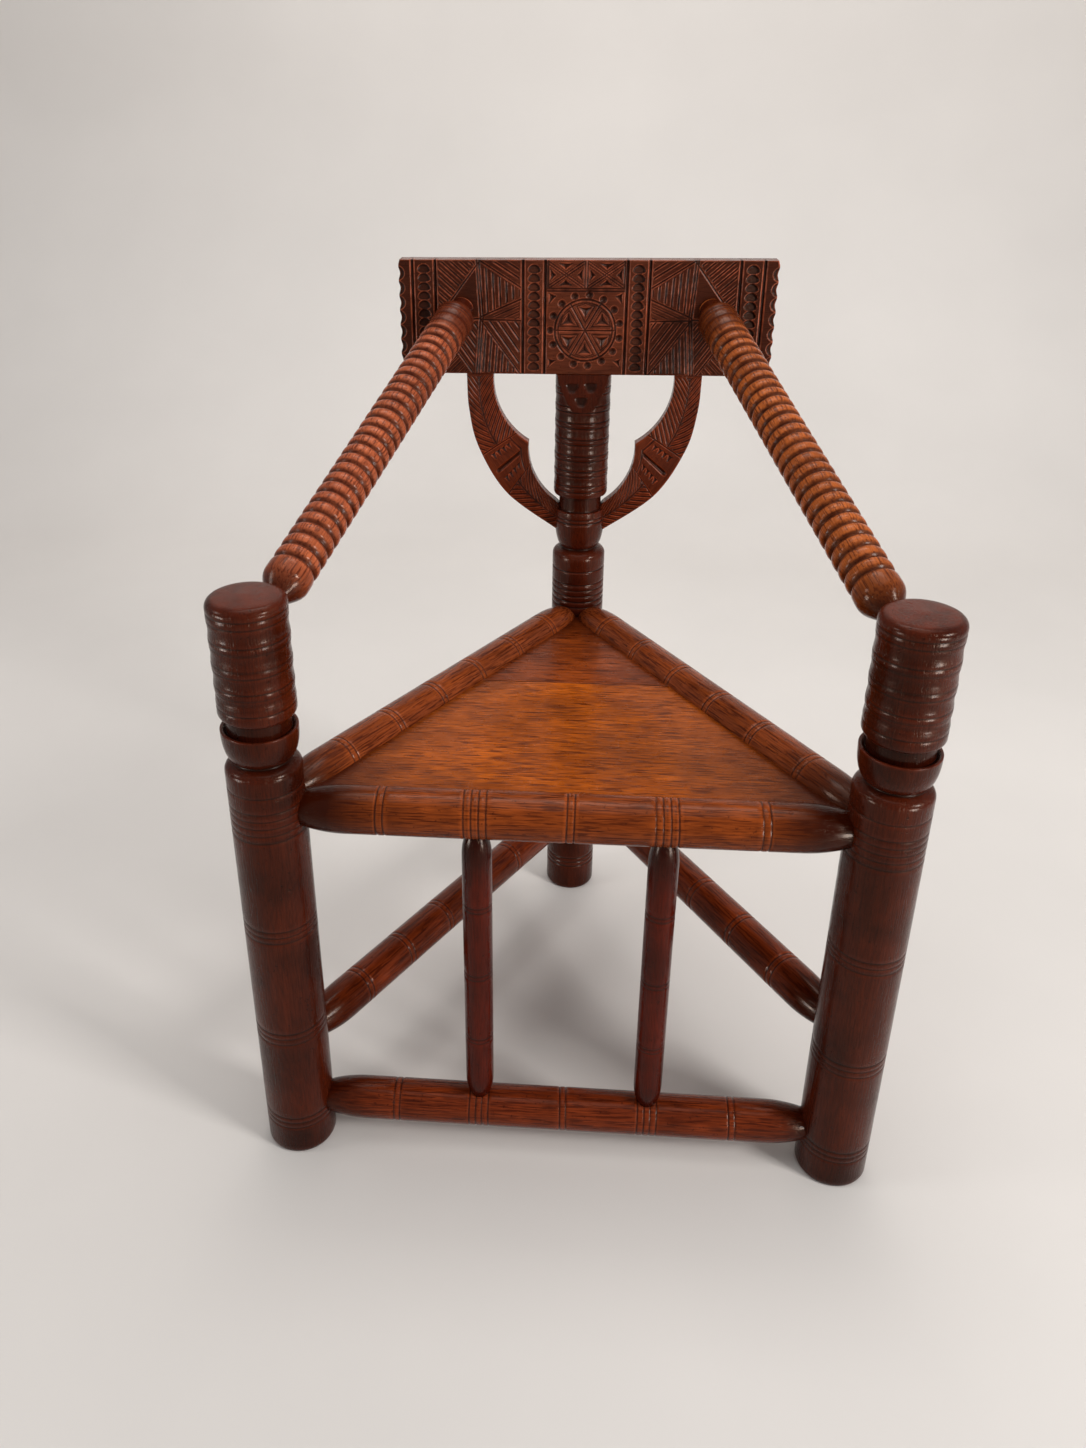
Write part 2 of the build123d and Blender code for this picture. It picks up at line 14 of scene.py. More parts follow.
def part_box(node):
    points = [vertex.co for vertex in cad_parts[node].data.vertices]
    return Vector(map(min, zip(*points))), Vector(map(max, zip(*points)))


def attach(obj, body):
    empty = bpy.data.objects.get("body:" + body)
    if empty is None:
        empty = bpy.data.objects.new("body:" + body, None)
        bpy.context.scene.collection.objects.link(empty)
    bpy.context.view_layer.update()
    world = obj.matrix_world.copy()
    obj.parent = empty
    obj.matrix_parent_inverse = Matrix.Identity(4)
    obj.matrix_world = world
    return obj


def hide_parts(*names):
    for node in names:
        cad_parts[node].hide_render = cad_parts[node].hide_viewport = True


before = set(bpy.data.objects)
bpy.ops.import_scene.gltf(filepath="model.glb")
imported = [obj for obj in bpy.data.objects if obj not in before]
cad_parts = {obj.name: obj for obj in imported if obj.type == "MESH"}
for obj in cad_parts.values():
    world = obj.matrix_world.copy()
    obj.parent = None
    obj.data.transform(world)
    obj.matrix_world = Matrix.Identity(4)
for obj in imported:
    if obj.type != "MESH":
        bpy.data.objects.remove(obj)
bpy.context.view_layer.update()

bl_info = {
    "name": "Turned corner chair",
    "version": (1, 0, 0),
    "blender": (4, 5, 0),
    "location": "View3D > Sidebar > Chair",
    "description": "Builds a triangular turned armchair with a chip-carved crest",
    "category": "Add Mesh",
}

MM = 0.001
TURN = 2 * math.pi


def box_mm(node):
    """Lowest and highest corner of a CAD node in millimetres."""
    return [np.array(corner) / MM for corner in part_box(node)]


# Places taken from the frame
POST_LOW, POST_HIGH = box_mm("front_post_right")
BACK_LOW, BACK_HIGH = box_mm("back_post")
CREST_LOW, CREST_HIGH = box_mm("crest_board")
RAIL_LOW, RAIL_HIGH = box_mm("front_seat_rail")
SEAT_LOW, SEAT_HIGH = box_mm("seat_board_front")
FRONT_R = (POST_HIGH[0] - POST_LOW[0]) / 2
FRONT_X = POST_HIGH[0] - FRONT_R
FRONT_Y = POST_LOW[1] + FRONT_R
FRONT_H = POST_HIGH[2]
BACK_R = (BACK_HIGH[0] - BACK_LOW[0]) / 2
BACK_Y = BACK_HIGH[1] - BACK_R
SETBACK = BACK_Y - FRONT_Y
SIDE_LENGTH = math.hypot(FRONT_X, SETBACK)
RAIL_R = (RAIL_HIGH[2] - RAIL_LOW[2]) / 2
RAIL_Z = RAIL_HIGH[2] - RAIL_R
CREST_Z = CREST_LOW[2]
CREST_H = CREST_HIGH[2] - CREST_Z
CREST_HALF = CREST_HIGH[0]
CREST_FACE_Y = CREST_LOW[1]
CREST_REAR_Y = CREST_HIGH[1]
SEAT_JOINT_Y = SEAT_HIGH[1]

# Turned ornament in millimetres. Drops are measured below a head, shares along a piece
PAIR_STEP = 7.0
FOOT_BEVEL = (2.0, 4.0)  # across and up
SHOULDER = (6.0, 8.0)  # across and down
SHAFT_RINGS = (0.09, 0.34, 0.615)  # groups of three lines, as shares of the shaft
SHAFT_TOP_LINES = (58.0, 5, 8.0)  # drop, count and step of the group under the shoulder
SHAFT_LAST_LINE = 24.0  # drop of the single line nearest the shoulder
DRUM_EDGE = (1.5, 3.0)  # across and up
RING_HALF = 4.0  # half the height of a pair of rings on a drum
CUP_THROAT = 2.0  # height of the throat below a cup
FRONT_DROPS = (171.0, 167.0, 134.0, 119.0)  # shoulder, cup, rim and drum
FRONT_RING_DROPS = (16.0, 41.0, 64.0, 87.0, 103.0)
FRONT_WAIST = 1.0  # how far a drum draws in between its rings
FRONT_NECK = 6.5  # neck inside the full radius
FRONT_CUP = (10.0, 0.3, 4.0)  # foot and rim inside the full radius, and the height of the lip
FRONT_RIM = (2.8, 0.3, 3.0)  # inner edge of the rim, its rise, and the well behind it
FRONT_TOP = (8.0, 9.0, 1.2)  # rounded top: across, down, and the crown above it
BACK_DROPS = (226.0, 222.0, 172.0, 152.0)
BACK_RING_DROPS = (17.0, 38.0, 58.0, 79.0, 100.0, 120.0, 140.0)
BACK_WAIST = 0.7
BACK_NECK = 7.5
BACK_CUP = (11.0, 2.0, 8.0)
BACK_RIM = 2.4  # rim inside the full radius
BACK_CUP_LINES = (9.0, 14.0)  # below the rim
HEAD_GAP = 0.2  # between the back post's head and the crest
FACET_DROP = 44.0
FACET_CLEAR = 2.0  # facets end this far outside the crest's faces
MOONS = ((-13.5, 11.0), (9.0, 10.0), (-2.0, 26.0))  # half-moons on the facet: across and drop
MOON_HALF = (8.0, 10.0)  # half width and half height
MOON_DEPTH = 3.2
MOON_FLAT = 7.0
FRONT_PAIRS_OUT = 0.3085 * 2 * FRONT_X
SIDE_LINES = (6, 0.186, 0.1315)  # count, first share and pitch of the pairs on a side rail
COPE = 6.0  # turned ends run this far into their neighbour
RAIL_TAPER = 46.0
RAIL_NOSE = 0.7  # radius at the end over the full radius
SPINDLE_R = 15.0
SPINDLE_X = box_mm("spindle_right")[1][0] - SPINDLE_R
SPINDLE_NOSE = 9.9
SPINDLE_TAPER = 26.0
SPINDLE_SINK = 3.0  # its swelling starts this far inside the rails
SPINDLE_LINES = (0.25, 5.0)  # pitch of the pairs as a share, and the step in a pair
ARM_R = 23.5
ARM_NECK = 13.0
ARM_THROAT = 1.5  # how far the neck draws in before the bell
ARM_RINGS = 28
ARM_RING_SHAPE = 2.8  # larger values make narrower grooves
ARM_BULB = 40.0
ARM_POST_DROP = 43.0
ARM_CREST_X = 147.0
ARM_CREST_UP = 77.0
ARM_WORN = (66.0, 0.35)  # length next to the crest where the grooves are worn, and what is left
ARM_SINK = 5.0  # the arm runs this far into the crest

# Boards in millimetres
SEAT_INSET = 14.0
SEAT_GAP = 0.3  # between the seat and the posts
SEAT_GRID = (150, 220)
SEAT_BORDER = 1.0  # the border of a worked face lies this far below it
CREST_SPACING = 0.8
CREST_BORDER = 1.0
SCALLOPS = (7, 15.5, 17.0)  # count, first height and pitch of the notches on the crest's ends
BRACE_HALF = 8.0
BRACE_W = 38.0  # width that the carving is laid out on
BRACE_GRID = (380, 60)
BRACE_SPACING = 0.65
BRACE_BORDER = 0.9
BRACE_OUTER = ((142.5, 0), (140.2, 45), (128.5, 94), (93.5, 152.5), (31, 199), (26, 202))
BRACE_UPPER = ((109.5, 0), (97, 55), (66, 86))  # inner arc down to the cusp
BRACE_LOWER = ((66, 86), (57, 132), (31, 162))  # inner arc from the cusp
BRACE_END = (26.0, 167.0)
PEG_DOME = 1.0

# Grid and hand work of a turned piece
POST_SEGMENTS = 112
BACK_SEGMENTS = 132
RAIL_SEGMENTS = 72
SPINDLE_SEGMENTS = 56
ARM_SEGMENTS = 80
PEG_SEGMENTS = 32
FINE_STEP = 0.1  # spacing of the samples along a profile
ROW_PITCH = 6.0  # spacing of the rows on a straight run
BEND_ROWS = 2.2  # rows added for each unit of bend
BEND_LIMIT = 1.5
OVAL = 0.004
OVAL_TWIST = 140.0
WANDER_TWIST = 37.0
END_FADE = 20.0  # lines stop wandering this close to an end
HOLLOW_GAIN = 2.2
EDGE_GAIN = 0.9
NO_SHADE = ((0, 0), (1, 0))

# Camera, lamps and world, in metres and radians
CAMERA_AT = (0.00044, -1.13548, 1.06551)
CAMERA_YAW = -0.08504
CAMERA_PITCH = 0.4448
CAMERA_ROLL = -0.0079
CAMERA_LENS = 27.9645
CAMERA_SENSOR = 36.0
CAMERA_SHIFT = (0.036518, -0.065651)
WORLD_COLOUR = (0.96, 0.97, 1.0, 1.0)
WORLD_STRENGTH = 0.36
# Name, place, aim, size, power, and whether the lamp shows only in the polish
LAMPS = (
    ("window", (2.5, -1.5, 1.9), (0.0, 0.0, 0.5), 0.7, 64.0, False),
    ("fill", (-2.5, -0.7, 1.7), (0.0, 0.0, 0.5), 0.6, 10.0, False),
    ("glint_right", (1.5, -1.5, 0.3), (0.0, 0.2, 0.6), 0.5, 24.0, True),
    ("glint_left", (-1.9, -1.1, 0.3), (0.0, 0.2, 0.6), 0.5, 17.0, True),
    ("sky", (0.1, 0.1, 3.5), (0.0, 0.0, 0.4), 2.8, 34.0, False),
    ("wash", (0.0, 0.8, 3.2), (0.0, 2.6, 1.4), 1.6, 28.0, False),
)


def tone(text):
    """Linear colour of a display colour written as six hex digits."""
    parts = [int(text[i : i + 2], 16) / 255 for i in (0, 2, 4)]
    return tuple(c / 12.92 if c <= 0.04045 else ((c + 0.055) / 1.055) ** 2.4 for c in parts)


def length_prop(label, about, millimetres):
    """A length property with its default in millimetres."""
    return FloatProperty(name=label, description=about, default=millimetres * MM, unit="LENGTH", precision=5)


def colour_prop(label, about, text):
    """A colour property with its default written as hex digits."""
    return FloatVectorProperty(
        name=label, description=about, subtype="COLOR", size=3, min=0, max=1, default=tone(text)
    )


class ChairSizes(bpy.types.PropertyGroup):
    """Depths of the ornament."""

    line_depth: length_prop("Line depth", "Depth of a scribed line", 1.1)
    line_width: length_prop("Line width", "Width of a scribed line", 2.1)
    ring_depth: length_prop("Ring depth", "Depth between the rings of an arm", 3.4)
    carving_depth: length_prop("Carving depth", "Depth of the deepest chips of the crest", 2.6)
    sway: length_prop("Sway", "How far a scribed line wanders along its piece", 0.5)


class ChairFinish(bpy.types.PropertyGroup):
    """Middle colours of the stained wood, before grain, grime, wear, painted shade and painted highlights.
    """

    post: colour_prop("Posts", "Dark red-brown of the posts", "4b190a")
    spindle: colour_prop("Spindles", "Dark red of the spindles", "551305")
    stretcher: colour_prop("Stretchers", "Red-brown of the lower rails", "7d3114")
    front_rail: colour_prop("Front rail", "Orange-brown of the front seat rail", "914116")
    side_rail: colour_prop("Side rails", "Orange-brown of the side seat rails", "8f421d")
    seat_front: colour_prop("Seat front", "Warm brown of the wide seat board", "b85812")
    seat_back: colour_prop("Seat back", "Redder brown of the small seat board", "924116")
    arm_left: colour_prop("Left arm", "Red-brown of the left arm", "af5938")
    arm_right: colour_prop("Right arm", "Lighter orange of the right arm", "ae5929")
    crest: colour_prop("Crest", "Dark brown of the carved crest", "642f1d")
    brace: colour_prop("Braces", "Red-brown of the carved braces", "6e2c15")
    floor: colour_prop("Floor", "Pale floor and backdrop", "dcd6d0")


# Shapes


def eased(full, z_full, small, z_small):
    """Profile points of the circle that touches a cylinder at z_full and reaches a smaller radius."""
    drop = full - small
    reach = z_small - z_full
    bend = (drop**2 + reach**2) / (2 * drop)
    z = np.linspace(0, reach, 16)
    return np.stack([full - bend + np.sqrt(np.maximum(bend**2 - z**2, 0)), z_full + z], 1)


def bowl(rim, z_rim, foot, z_foot):
    """Profile points of a quarter ellipse from a flat foot up to an upright rim."""
    a = np.linspace(0, math.pi / 2, 20)
    return np.stack([foot + (rim - foot) * np.sin(a), z_rim + (z_foot - z_rim) * np.cos(a)], 1)


def profile(*parts):
    """Joins single points and runs of points into one profile of radius and height."""
    return np.concatenate([np.atleast_2d(np.array(part, float)) for part in parts])


def group(centre, count, step=PAIR_STEP):
    """Places of a group of lines spaced evenly about a centre."""
    return [centre + step * (i - (count - 1) / 2) for i in range(count)]


def soften(values, sigma):
    """Running weighted mean of a row of samples, with bell-shaped weights sigma samples wide."""
    reach = int(3 * sigma) + 1
    weights = np.exp(-0.5 * (np.arange(-reach, reach + 1) / sigma) ** 2)
    padded = np.pad(values, reach, mode="edge")
    return np.convolve(padded, weights / weights.sum(), mode="valid")


def turning(points, lines, segments, sizes, seed, shade=NO_SHADE, rounding=0.4, deep=1.0, crowd=(0, 0)):
    """A profile carried round an axis. The radius at each height is the profile's, less a V at every
    line; corners are rounded by a running mean; the ring is a hair oval and its lines wander along
    the axis by a sine of the angle. Rows crowd where the profile bends and between the two heights
    of crowd. Returns the grid of places (two across, one along), and the masks of hollows, edges
    and shade."""
    runs = np.hypot(*np.diff(points, axis=0).T)
    moved = runs > 1e-6
    points = points[np.concatenate([[True], moved])]
    along = np.concatenate([[0], np.cumsum(runs[moved])])
    fine = np.arange(0, along[-1], FINE_STEP)
    radius = np.interp(fine, along, points[:, 0])
    height = np.interp(fine, along, points[:, 1])
    width = sizes.line_width / MM
    depth = deep * sizes.line_depth / MM
    for place in lines:
        radius -= vee(np.abs(height - place), width, depth)
    radius = soften(radius, rounding / FINE_STEP)
    height = soften(height, rounding / FINE_STEP)
    angle = np.unwrap(np.arctan2(np.gradient(height), np.gradient(radius)))
    bend = soften(np.gradient(angle) / FINE_STEP, 0.5 / FINE_STEP)
    crowded = (height > crowd[0]) & (height < crowd[1])
    density = 1 / ROW_PITCH + BEND_ROWS * np.minimum(np.abs(bend), BEND_LIMIT) + crowded
    weight = np.cumsum(density * FINE_STEP)
    rows = np.interp(np.linspace(weight[0], weight[-1], int(weight[-1]) + 2), weight, fine)
    ring_r = np.interp(rows, fine, radius)[:, None]
    ring_z = np.interp(rows, fine, height)[:, None]
    ring_bend = np.interp(rows, fine, bend)[:, None]
    t = (TURN * np.arange(segments) / segments)[None, :]
    oval = 1 - OVAL * (1 + np.sin(2 * t + seed + ring_z / OVAL_TWIST))
    wander = sizes.sway / MM * np.sin(t + 2.1 * seed + ring_z / WANDER_TWIST)
    from_foot = np.clip((ring_z - height.min()) / END_FADE, 0, 1)
    from_head = np.clip((height.max() - ring_z) / END_FADE, 0, 1)
    across = ring_r * oval
    place = np.stack(
        [across * np.cos(t), across * np.sin(t), ring_z + from_foot * from_head * wander], axis=-1
    )
    flat = np.ones_like(t)
    stops = np.array(shade, float)
    # Masks for the wood: inward bends darken as grime and painted shade, outward bends lighten as wear and
    # painted highlights, and the shade stops darken along the piece.
    return {
        "place": place,
        "recess": np.clip(-ring_bend * HOLLOW_GAIN, 0, 1) * flat,
        "edge": np.clip(ring_bend * EDGE_GAIN, 0, 1) * flat,
        "shade": np.interp(ring_z, stops[:, 0], stops[:, 1]) * flat,
        "seed": seed,
    }


def aimed(place, foot, along):
    """Carries a turning's places to the chair: foot, plus the height times the axis, plus the two
    across values times two directions square to it."""
    along = np.array(along, float) / np.linalg.norm(along)
    guide = np.array([0.0, 0.0, 1.0]) if abs(along[2]) < 0.9 else np.array([1.0, 0.0, 0.0])
    side = np.cross(guide, along)
    side /= np.linalg.norm(side)
    other = np.cross(along, side)
    return np.array(foot, float) + place[..., :1] * side + place[..., 1:2] * other + place[..., 2:] * along


def grid_quads(rows, cols, wrap):
    """Corner numbers of a grid's cells; wrap joins the last column to the first."""
    i = np.arange(rows - 1)[:, None]
    j = np.arange(cols if wrap else cols - 1)[None, :]
    a = i * cols + j
    b = i * cols + (j + 1) % cols
    return np.stack([a, b, b + cols, a + cols], axis=-1).reshape(-1, 4)


def put_mesh(name, points, faces, smooth, masks, material):
    """Writes points in millimetres, lists of faces and point masks into one mesh object at the origin."""
    mesh = bpy.data.meshes.new(name)
    loops = np.concatenate([f.ravel() for f in faces]).astype(np.int32)
    counts = np.concatenate([np.full(len(f), f.shape[1]) for f in faces])
    starts = (np.cumsum(counts) - counts).astype(np.int32)
    mesh.vertices.add(len(points))
    mesh.vertices.foreach_set("co", (points * MM).astype(np.float32).ravel())
    mesh.loops.add(len(loops))
    mesh.loops.foreach_set("vertex_index", loops)
    mesh.polygons.add(len(counts))
    mesh.polygons.foreach_set("loop_start", starts)
    flags = np.concatenate([np.full(len(f), flag) for f, flag in zip(faces, smooth)])
    mesh.polygons.foreach_set("use_smooth", flags)
    mesh.update(calc_edges=True)
    mesh.validate()
    for key, values in masks.items():
        if values.ndim == 2:
            layer = mesh.attributes.new(key, "FLOAT_VECTOR", "POINT")
            layer.data.foreach_set("vector", (values * MM).astype(np.float32).ravel())
        else:
            layer = mesh.attributes.new(key, "FLOAT", "POINT")
            layer.data.foreach_set("value", values.astype(np.float32))
    mesh.materials.append(material)
    piece = bpy.data.objects.new(name, mesh)
    bpy.context.scene.collection.objects.link(piece)
    return piece


def seed_shift(seed):
    """Moves the grain of a piece away from that of its neighbours, in millimetres."""
    return np.array([310.0, 170.0, 730.0]) * seed


def put_turning(name, made, points, material):
    """Skins the rings of a turning and closes both ends with a fan to a point on the axis."""
    rows, cols = points.shape[:2]
    ends = [points[0].mean(0), points[-1].mean(0)]
    flat = points.reshape(-1, 3)
    place = made["place"].reshape(-1, 3)
    place_ends = [made["place"][0].mean(0), made["place"][-1].mean(0)]
    around = np.arange(cols)
    after = (around + 1) % cols
    last = (rows - 1) * cols
    low_pole = np.full(cols, rows * cols)
    fans = [
        np.stack([after, around, low_pole], 1),
        np.stack([last + around, last + after, low_pole + 1], 1),
    ]
    masks = {"place": np.concatenate([place, place_ends]) + seed_shift(made["seed"])}
    for key in ("recess", "edge", "shade"):
        masks[key] = np.append(made[key].ravel(), [made[key][0].mean(), made[key][-1].mean()])
    faces = [grid_quads(rows, cols, True)] + fans
    return put_mesh(name, np.concatenate([flat, ends]), faces, (True, True, True), masks, material)


def put_board(name, front, thickness, grain, recess, edge, shade, material):
    """A board whose worked face is a grid: the grid's border is carried back by the thickness, side
    faces join the two borders and one flat face closes the rear."""
    rows, cols = front.shape[:2]
    number = np.arange(rows * cols).reshape(rows, cols)
    ring = np.concatenate([number[0, :-1], number[:-1, -1], number[-1, :0:-1], number[:0:-1, 0]])
    flat = front.reshape(-1, 3)
    rear = flat[ring] + np.array(thickness)
    count = len(ring)
    rear_number = rows * cols + np.arange(count)
    following = np.roll(np.arange(count), -1)
    sides = np.stack([ring[following], ring, rear_number, rear_number[following]], 1)
    back = rear_number[::-1][None, :]
    depth = np.linalg.norm(thickness)
    grain = grain.reshape(-1, 3)
    masks = {
        "place": np.concatenate([grain, grain[ring] + np.array([0, depth, 0])]),
        "recess": np.append(recess.ravel(), np.zeros(count)),
        "edge": np.append(edge.ravel(), np.zeros(count)),
        "shade": np.append(shade.ravel(), shade.ravel()[ring]),
    }
    faces = [grid_quads(rows, cols, False), sides, back]
    return put_mesh(name, np.concatenate([flat, rear]), faces, (True, False, False), masks, material)


def set_border(grid, axis, value):
    """Gives the border points of a grid one value on one axis."""
    for border in (np.s_[0, :], np.s_[-1, :], np.s_[:, 0], np.s_[:, -1]):
        grid[border + (axis,)] = value


# Chip carving. Every cut is a depth over the grid (u, w), and the deepest one shows


def deepest(cuts):
    """The largest depth of several cuts at each point."""
    return np.maximum.reduce(cuts)


def segment_gap(u, w, start, end):
    """Distance of each grid point from a straight segment."""
    du, dw = end[0] - start[0], end[1] - start[1]
    share = np.clip(((u - start[0]) * du + (w - start[1]) * dw) / (du * du + dw * dw), 0, 1)
    return np.hypot(u - start[0] - share * du, w - start[1] - share * dw)


def vee(gap, width, depth):
    """A V section: full depth at no distance, none at half the width."""
    return depth * np.clip(1 - 2 * gap / width, 0, 1)


def inside(u, w, corners):
    """Distance inside the nearest edge of a convex outline, negative outside."""
    area = 0.0
    for (ua, wa), (ub, wb) in zip(corners, corners[1:] + corners[:1]):
        area += ua * wb - ub * wa
    nearest = np.full(u.shape, 1e9)
    for (ua, wa), (ub, wb) in zip(corners, corners[1:] + corners[:1]):
        gap = ((ub - ua) * (w - wa) - (wb - wa) * (u - ua)) / math.hypot(ub - ua, wb - wa)
        nearest = np.minimum(nearest, gap * math.copysign(1, area))
    return nearest


def hatch(u, w, corners, direction, pitch, width, depth):
    """Parallel V lines that fill a convex outline and die out just inside its edges."""
    size = math.hypot(*direction)
    across = (u - corners[0][0]) * direction[1] / size - (w - corners[0][1]) * direction[0] / size
    gap = np.abs((across / pitch + 0.5) % 1 - 0.5) * pitch
    return vee(gap, width, depth) * np.clip((inside(u, w, corners) - 0.8) / 0.8, 0, 1)


def pit(u, w, corners, depth):
    """A chip of flat facets: depth grows evenly from the outline's edges to its middle."""
    gap = inside(u, w, corners)
    middle = np.mean(corners, axis=0)
    full = inside(np.array([middle[0]]), np.array([middle[1]]), corners)[0]
    return depth * np.clip(gap / full, 0, 1)


def thumb(u, w, centre, half_u, half_w, lean, depth, flat=2.4):
    """A gouge cut: half an ellipse, flattened below, deepest at its rounded wall on the side of lean."""
    p = (u - centre[0]) / half_u
    q = (w - centre[1]) / half_w
    rim = 1 - np.hypot(p, np.where(q > 0, q, flat * q))
    slope = np.clip(0.55 + 0.4 * lean * p + 0.4 * q, 0.1, 1)
    return depth * slope * np.clip(rim / 0.25, 0, 1)


def masks_of(depth, spacing):
    """Hollow and edge masks of a carved face from the second difference of its depth."""
    curve = np.zeros_like(depth)
    curve[1:-1] += depth[2:] + depth[:-2] - 2 * depth[1:-1]
    curve[:, 1:-1] += depth[:, 2:] + depth[:, :-2] - 2 * depth[:, 1:-1]
    curve /= spacing**2
    # Hollows and deeper cuts darken as grime and painted shade; ridges lighten as wear and painted
    # highlights.
    hollow = np.clip(-curve * 1.8, 0, 1)
    spread = hollow.copy()
    spread[1:-1] = np.maximum(spread[1:-1], 0.85 * np.maximum(hollow[2:], hollow[:-2]))
    spread[:, 1:-1] = np.maximum(spread[:, 1:-1], 0.85 * np.maximum(hollow[:, 2:], hollow[:, :-2]))
    return np.maximum(spread, np.clip(depth / 4, 0, 0.6)), np.clip(curve, 0, 1)


def hatch_panel(u, w, deep):
    """One panel of the crest in distance from the middle and height: eight fields about a star
    centre, each filled with lines in its own direction, with deeper lines between them."""
    low, high, mid, top = 77.0, 175.0, 125.0, CREST_H - 1
    eye = 67.5
    bold, fine = (2.8, 0.6 * deep), (1.8, 0.35 * deep)
    fields = (
        ([(mid, top), (low, top), (low, 102)], (mid - low, top - 102), 8.0, bold),
        ([(mid + 1, top - 2), (low, 100), (low, 91), (mid - 2, eye)], (0.04, 1), 7.8, bold),
        ([(mid, eye), (low, 88), (low, eye - 3)], (mid - low, eye - 88), 6.0, fine),
        ([(mid, eye - 3), (low, eye - 4), (low, 2)], (mid - low, eye), 8.2, bold),
        ([(mid, eye - 4), (low + 2, 1), (mid + 5, 1)], (-0.08, 1), 7.4, bold),
        ([(mid + 3, top), (high, 67), (high, top)], (23, 20), 7.2, bold),
        ([(mid, top), (mid, eye), (high, eye - 3), (high, 64)], (mid - high, top - 64), 5.2, fine),
        ([(mid + 1, eye - 4), (mid + 7, 1), (high, 58), (high, eye - 5)], (15, 21), 7.2, bold),
        ([(mid + 12, 1), (high, 1), (high, 54)], (-1, 1), 6.0, fine),
    )
    seams = (
        ((mid, top), (low, 102)),
        ((mid, eye), (low, 88)),
        ((mid, eye - 3), (low, eye - 4)),
        ((mid, eye - 3), (low, 0)),
        ((mid, top), (high, 66)),
        ((mid, eye - 2), (high, eye - 4)),
        ((mid + 9, 0), (high, 58)),
        ((mid + 4, top), (mid, eye)),
        ((mid, eye), (mid + 5, 0)),
        ((mid + 1, top), (mid - 3, eye)),
        ((mid - 3, eye), (mid + 2, 0)),
    )
    cuts = [hatch(u, w, corners, way, pitch, *cut) for corners, way, pitch, cut in fields]
    cuts += [vee(segment_gap(u, w, *seam), 2.4, 0.6 * deep) for seam in seams]
    return deepest(cuts) * (u > low - 1) * (u < high + 1)


def cross_boxes(x, w, deep):
    """Two boxes above the rosette, each crossed corner to corner by double lines, with a
    three-sided chip in every quarter."""
    low, high, half = 101.0, CREST_H - 1.5, 46.0
    u = np.abs(x)
    borders = (
        ((1.6, low), (1.6, high)),
        ((0, low), (half, low)),
        ((0, low - 3), (half, low - 3)),
        ((half - 1.5, low), (half - 1.5, high)),
    )
    middle = (half / 2 + 0.5, (low + high) / 2)
    cuts = [vee(segment_gap(u, w, *border), 1.8, 0.4 * deep) for border in borders]
    rise = (high - low) / half
    for shift in (-1.7, 1.7):
        for way in (-1, 1):
            start = (2.5, middle[1] - way * rise * (middle[0] - 2.5) + shift)
            end = (half - 2, middle[1] + way * rise * (half - 2 - middle[0]) + shift)
            cuts.append(vee(segment_gap(u, w, start, end), 1.6, 0.4 * deep))
    chips = (
        [(15, high - 2), (33, high - 2), (24, high - 9)],
        [(15, low + 3), (33, low + 3), (24, low + 10)],
        [(4, middle[1] - 7), (4, middle[1] + 7), (11, middle[1])],
        [(half - 4, middle[1] - 7), (half - 4, middle[1] + 7), (half - 11, middle[1])],
    )
    cuts += [pit(u, w, corners, 1.2 * deep) for corners in chips]
    return deepest(cuts)


def rosette(x, w, deep):
    """Wheel of six spokes in a ring: each sixth holds an outlined triangle with a chip in it, small
    gouge nicks stand round the ring and a leaf-shaped chip in each corner."""
    centre_w, radius = 52.5, 36.0
    spokes, nicks = 6, 15
    petal = ((9.0, 0.0), (30.0, -0.36), (31.5, 0.0), (30.0, 0.36))
    chip = ((15.0, 0.0), (28.5, -0.28), (28.5, 0.28))

    def spot(reach, angle):
        """Point at a distance and an angle from the wheel's middle."""
        return reach * math.cos(angle), centre_w + reach * math.sin(angle)

    r = np.hypot(x, w - centre_w)
    cuts = [vee(np.abs(r - radius), 3.0, 0.75 * deep), vee(np.abs(r - radius + 4), 1.8, 0.35 * deep)]
    for i in range(spokes):
        a = TURN * i / spokes
        b = a + TURN / 2 / spokes
        cuts.append(vee(segment_gap(x, w, (0, centre_w), spot(radius, a)), 2.4, 0.6 * deep))
        outline = inside(x, w, [spot(reach, b + turn) for reach, turn in petal])
        cuts.append(vee(np.abs(outline), 1.8, 0.35 * deep) * (r < radius - 2))
        cuts.append(pit(x, w, [spot(reach, b + turn) for reach, turn in chip], 1.3 * deep))
    for i in range(nicks):
        nick_x, nick_w = spot(radius + 5.5, TURN * (i + 0.5) / nicks)
        gap = np.hypot(x - nick_x, w - nick_w)
        cuts.append(1.1 * deep * np.clip(1.5 - gap / 3.2, 0, 1) * (r > radius + 1.5))
    for side in (-1, 1):
        for low, high in ((9.0, 19.0), (83.0, 96.0)):
            leaf = [(side * 43, low), (side * 43, high), (side * 34, (low + high) / 2 + 3)]
            cuts.append(pit(x, w, leaf, 1.3 * deep))
    return deepest(cuts)


def crest_depth(x, w, deep):
    """Depth of the whole crest carving over its width x and height w above the lower edge: panels,
    upright borders, columns of gouge cuts beside them, and notches along both ends."""
    panel_half = 47
    borders = (48.0, 74.0, 178.0, 205.0)
    columns, gouges, first, pitch = (61.0, 191.5), 12, 7.5, 10.3
    u = np.abs(x)
    middle = np.maximum(cross_boxes(x, w, deep), rosette(x, w, deep))
    cuts = [hatch_panel(u, w, deep), middle * (u < panel_half)]
    cuts += [vee(np.abs(u - place), 4.6, 1.3 * deep) for place in borders]
    for place in columns:
        for i in range(gouges):
            for side in (-1, 1):
                centre = (side * place, first + pitch * i)
                cuts.append(thumb(x, w, centre, 7.6, 7.4, 1, 1.25 * deep))
    count, lowest, step = SCALLOPS
    for i in range(count):
        gap = np.hypot(u - CREST_HALF - 1.5, w - (lowest + step * i))
        cuts.append(0.7 * deep * np.clip((8.5 - gap) / 2.0, 0, 1))
    return deepest(cuts)


# Materials


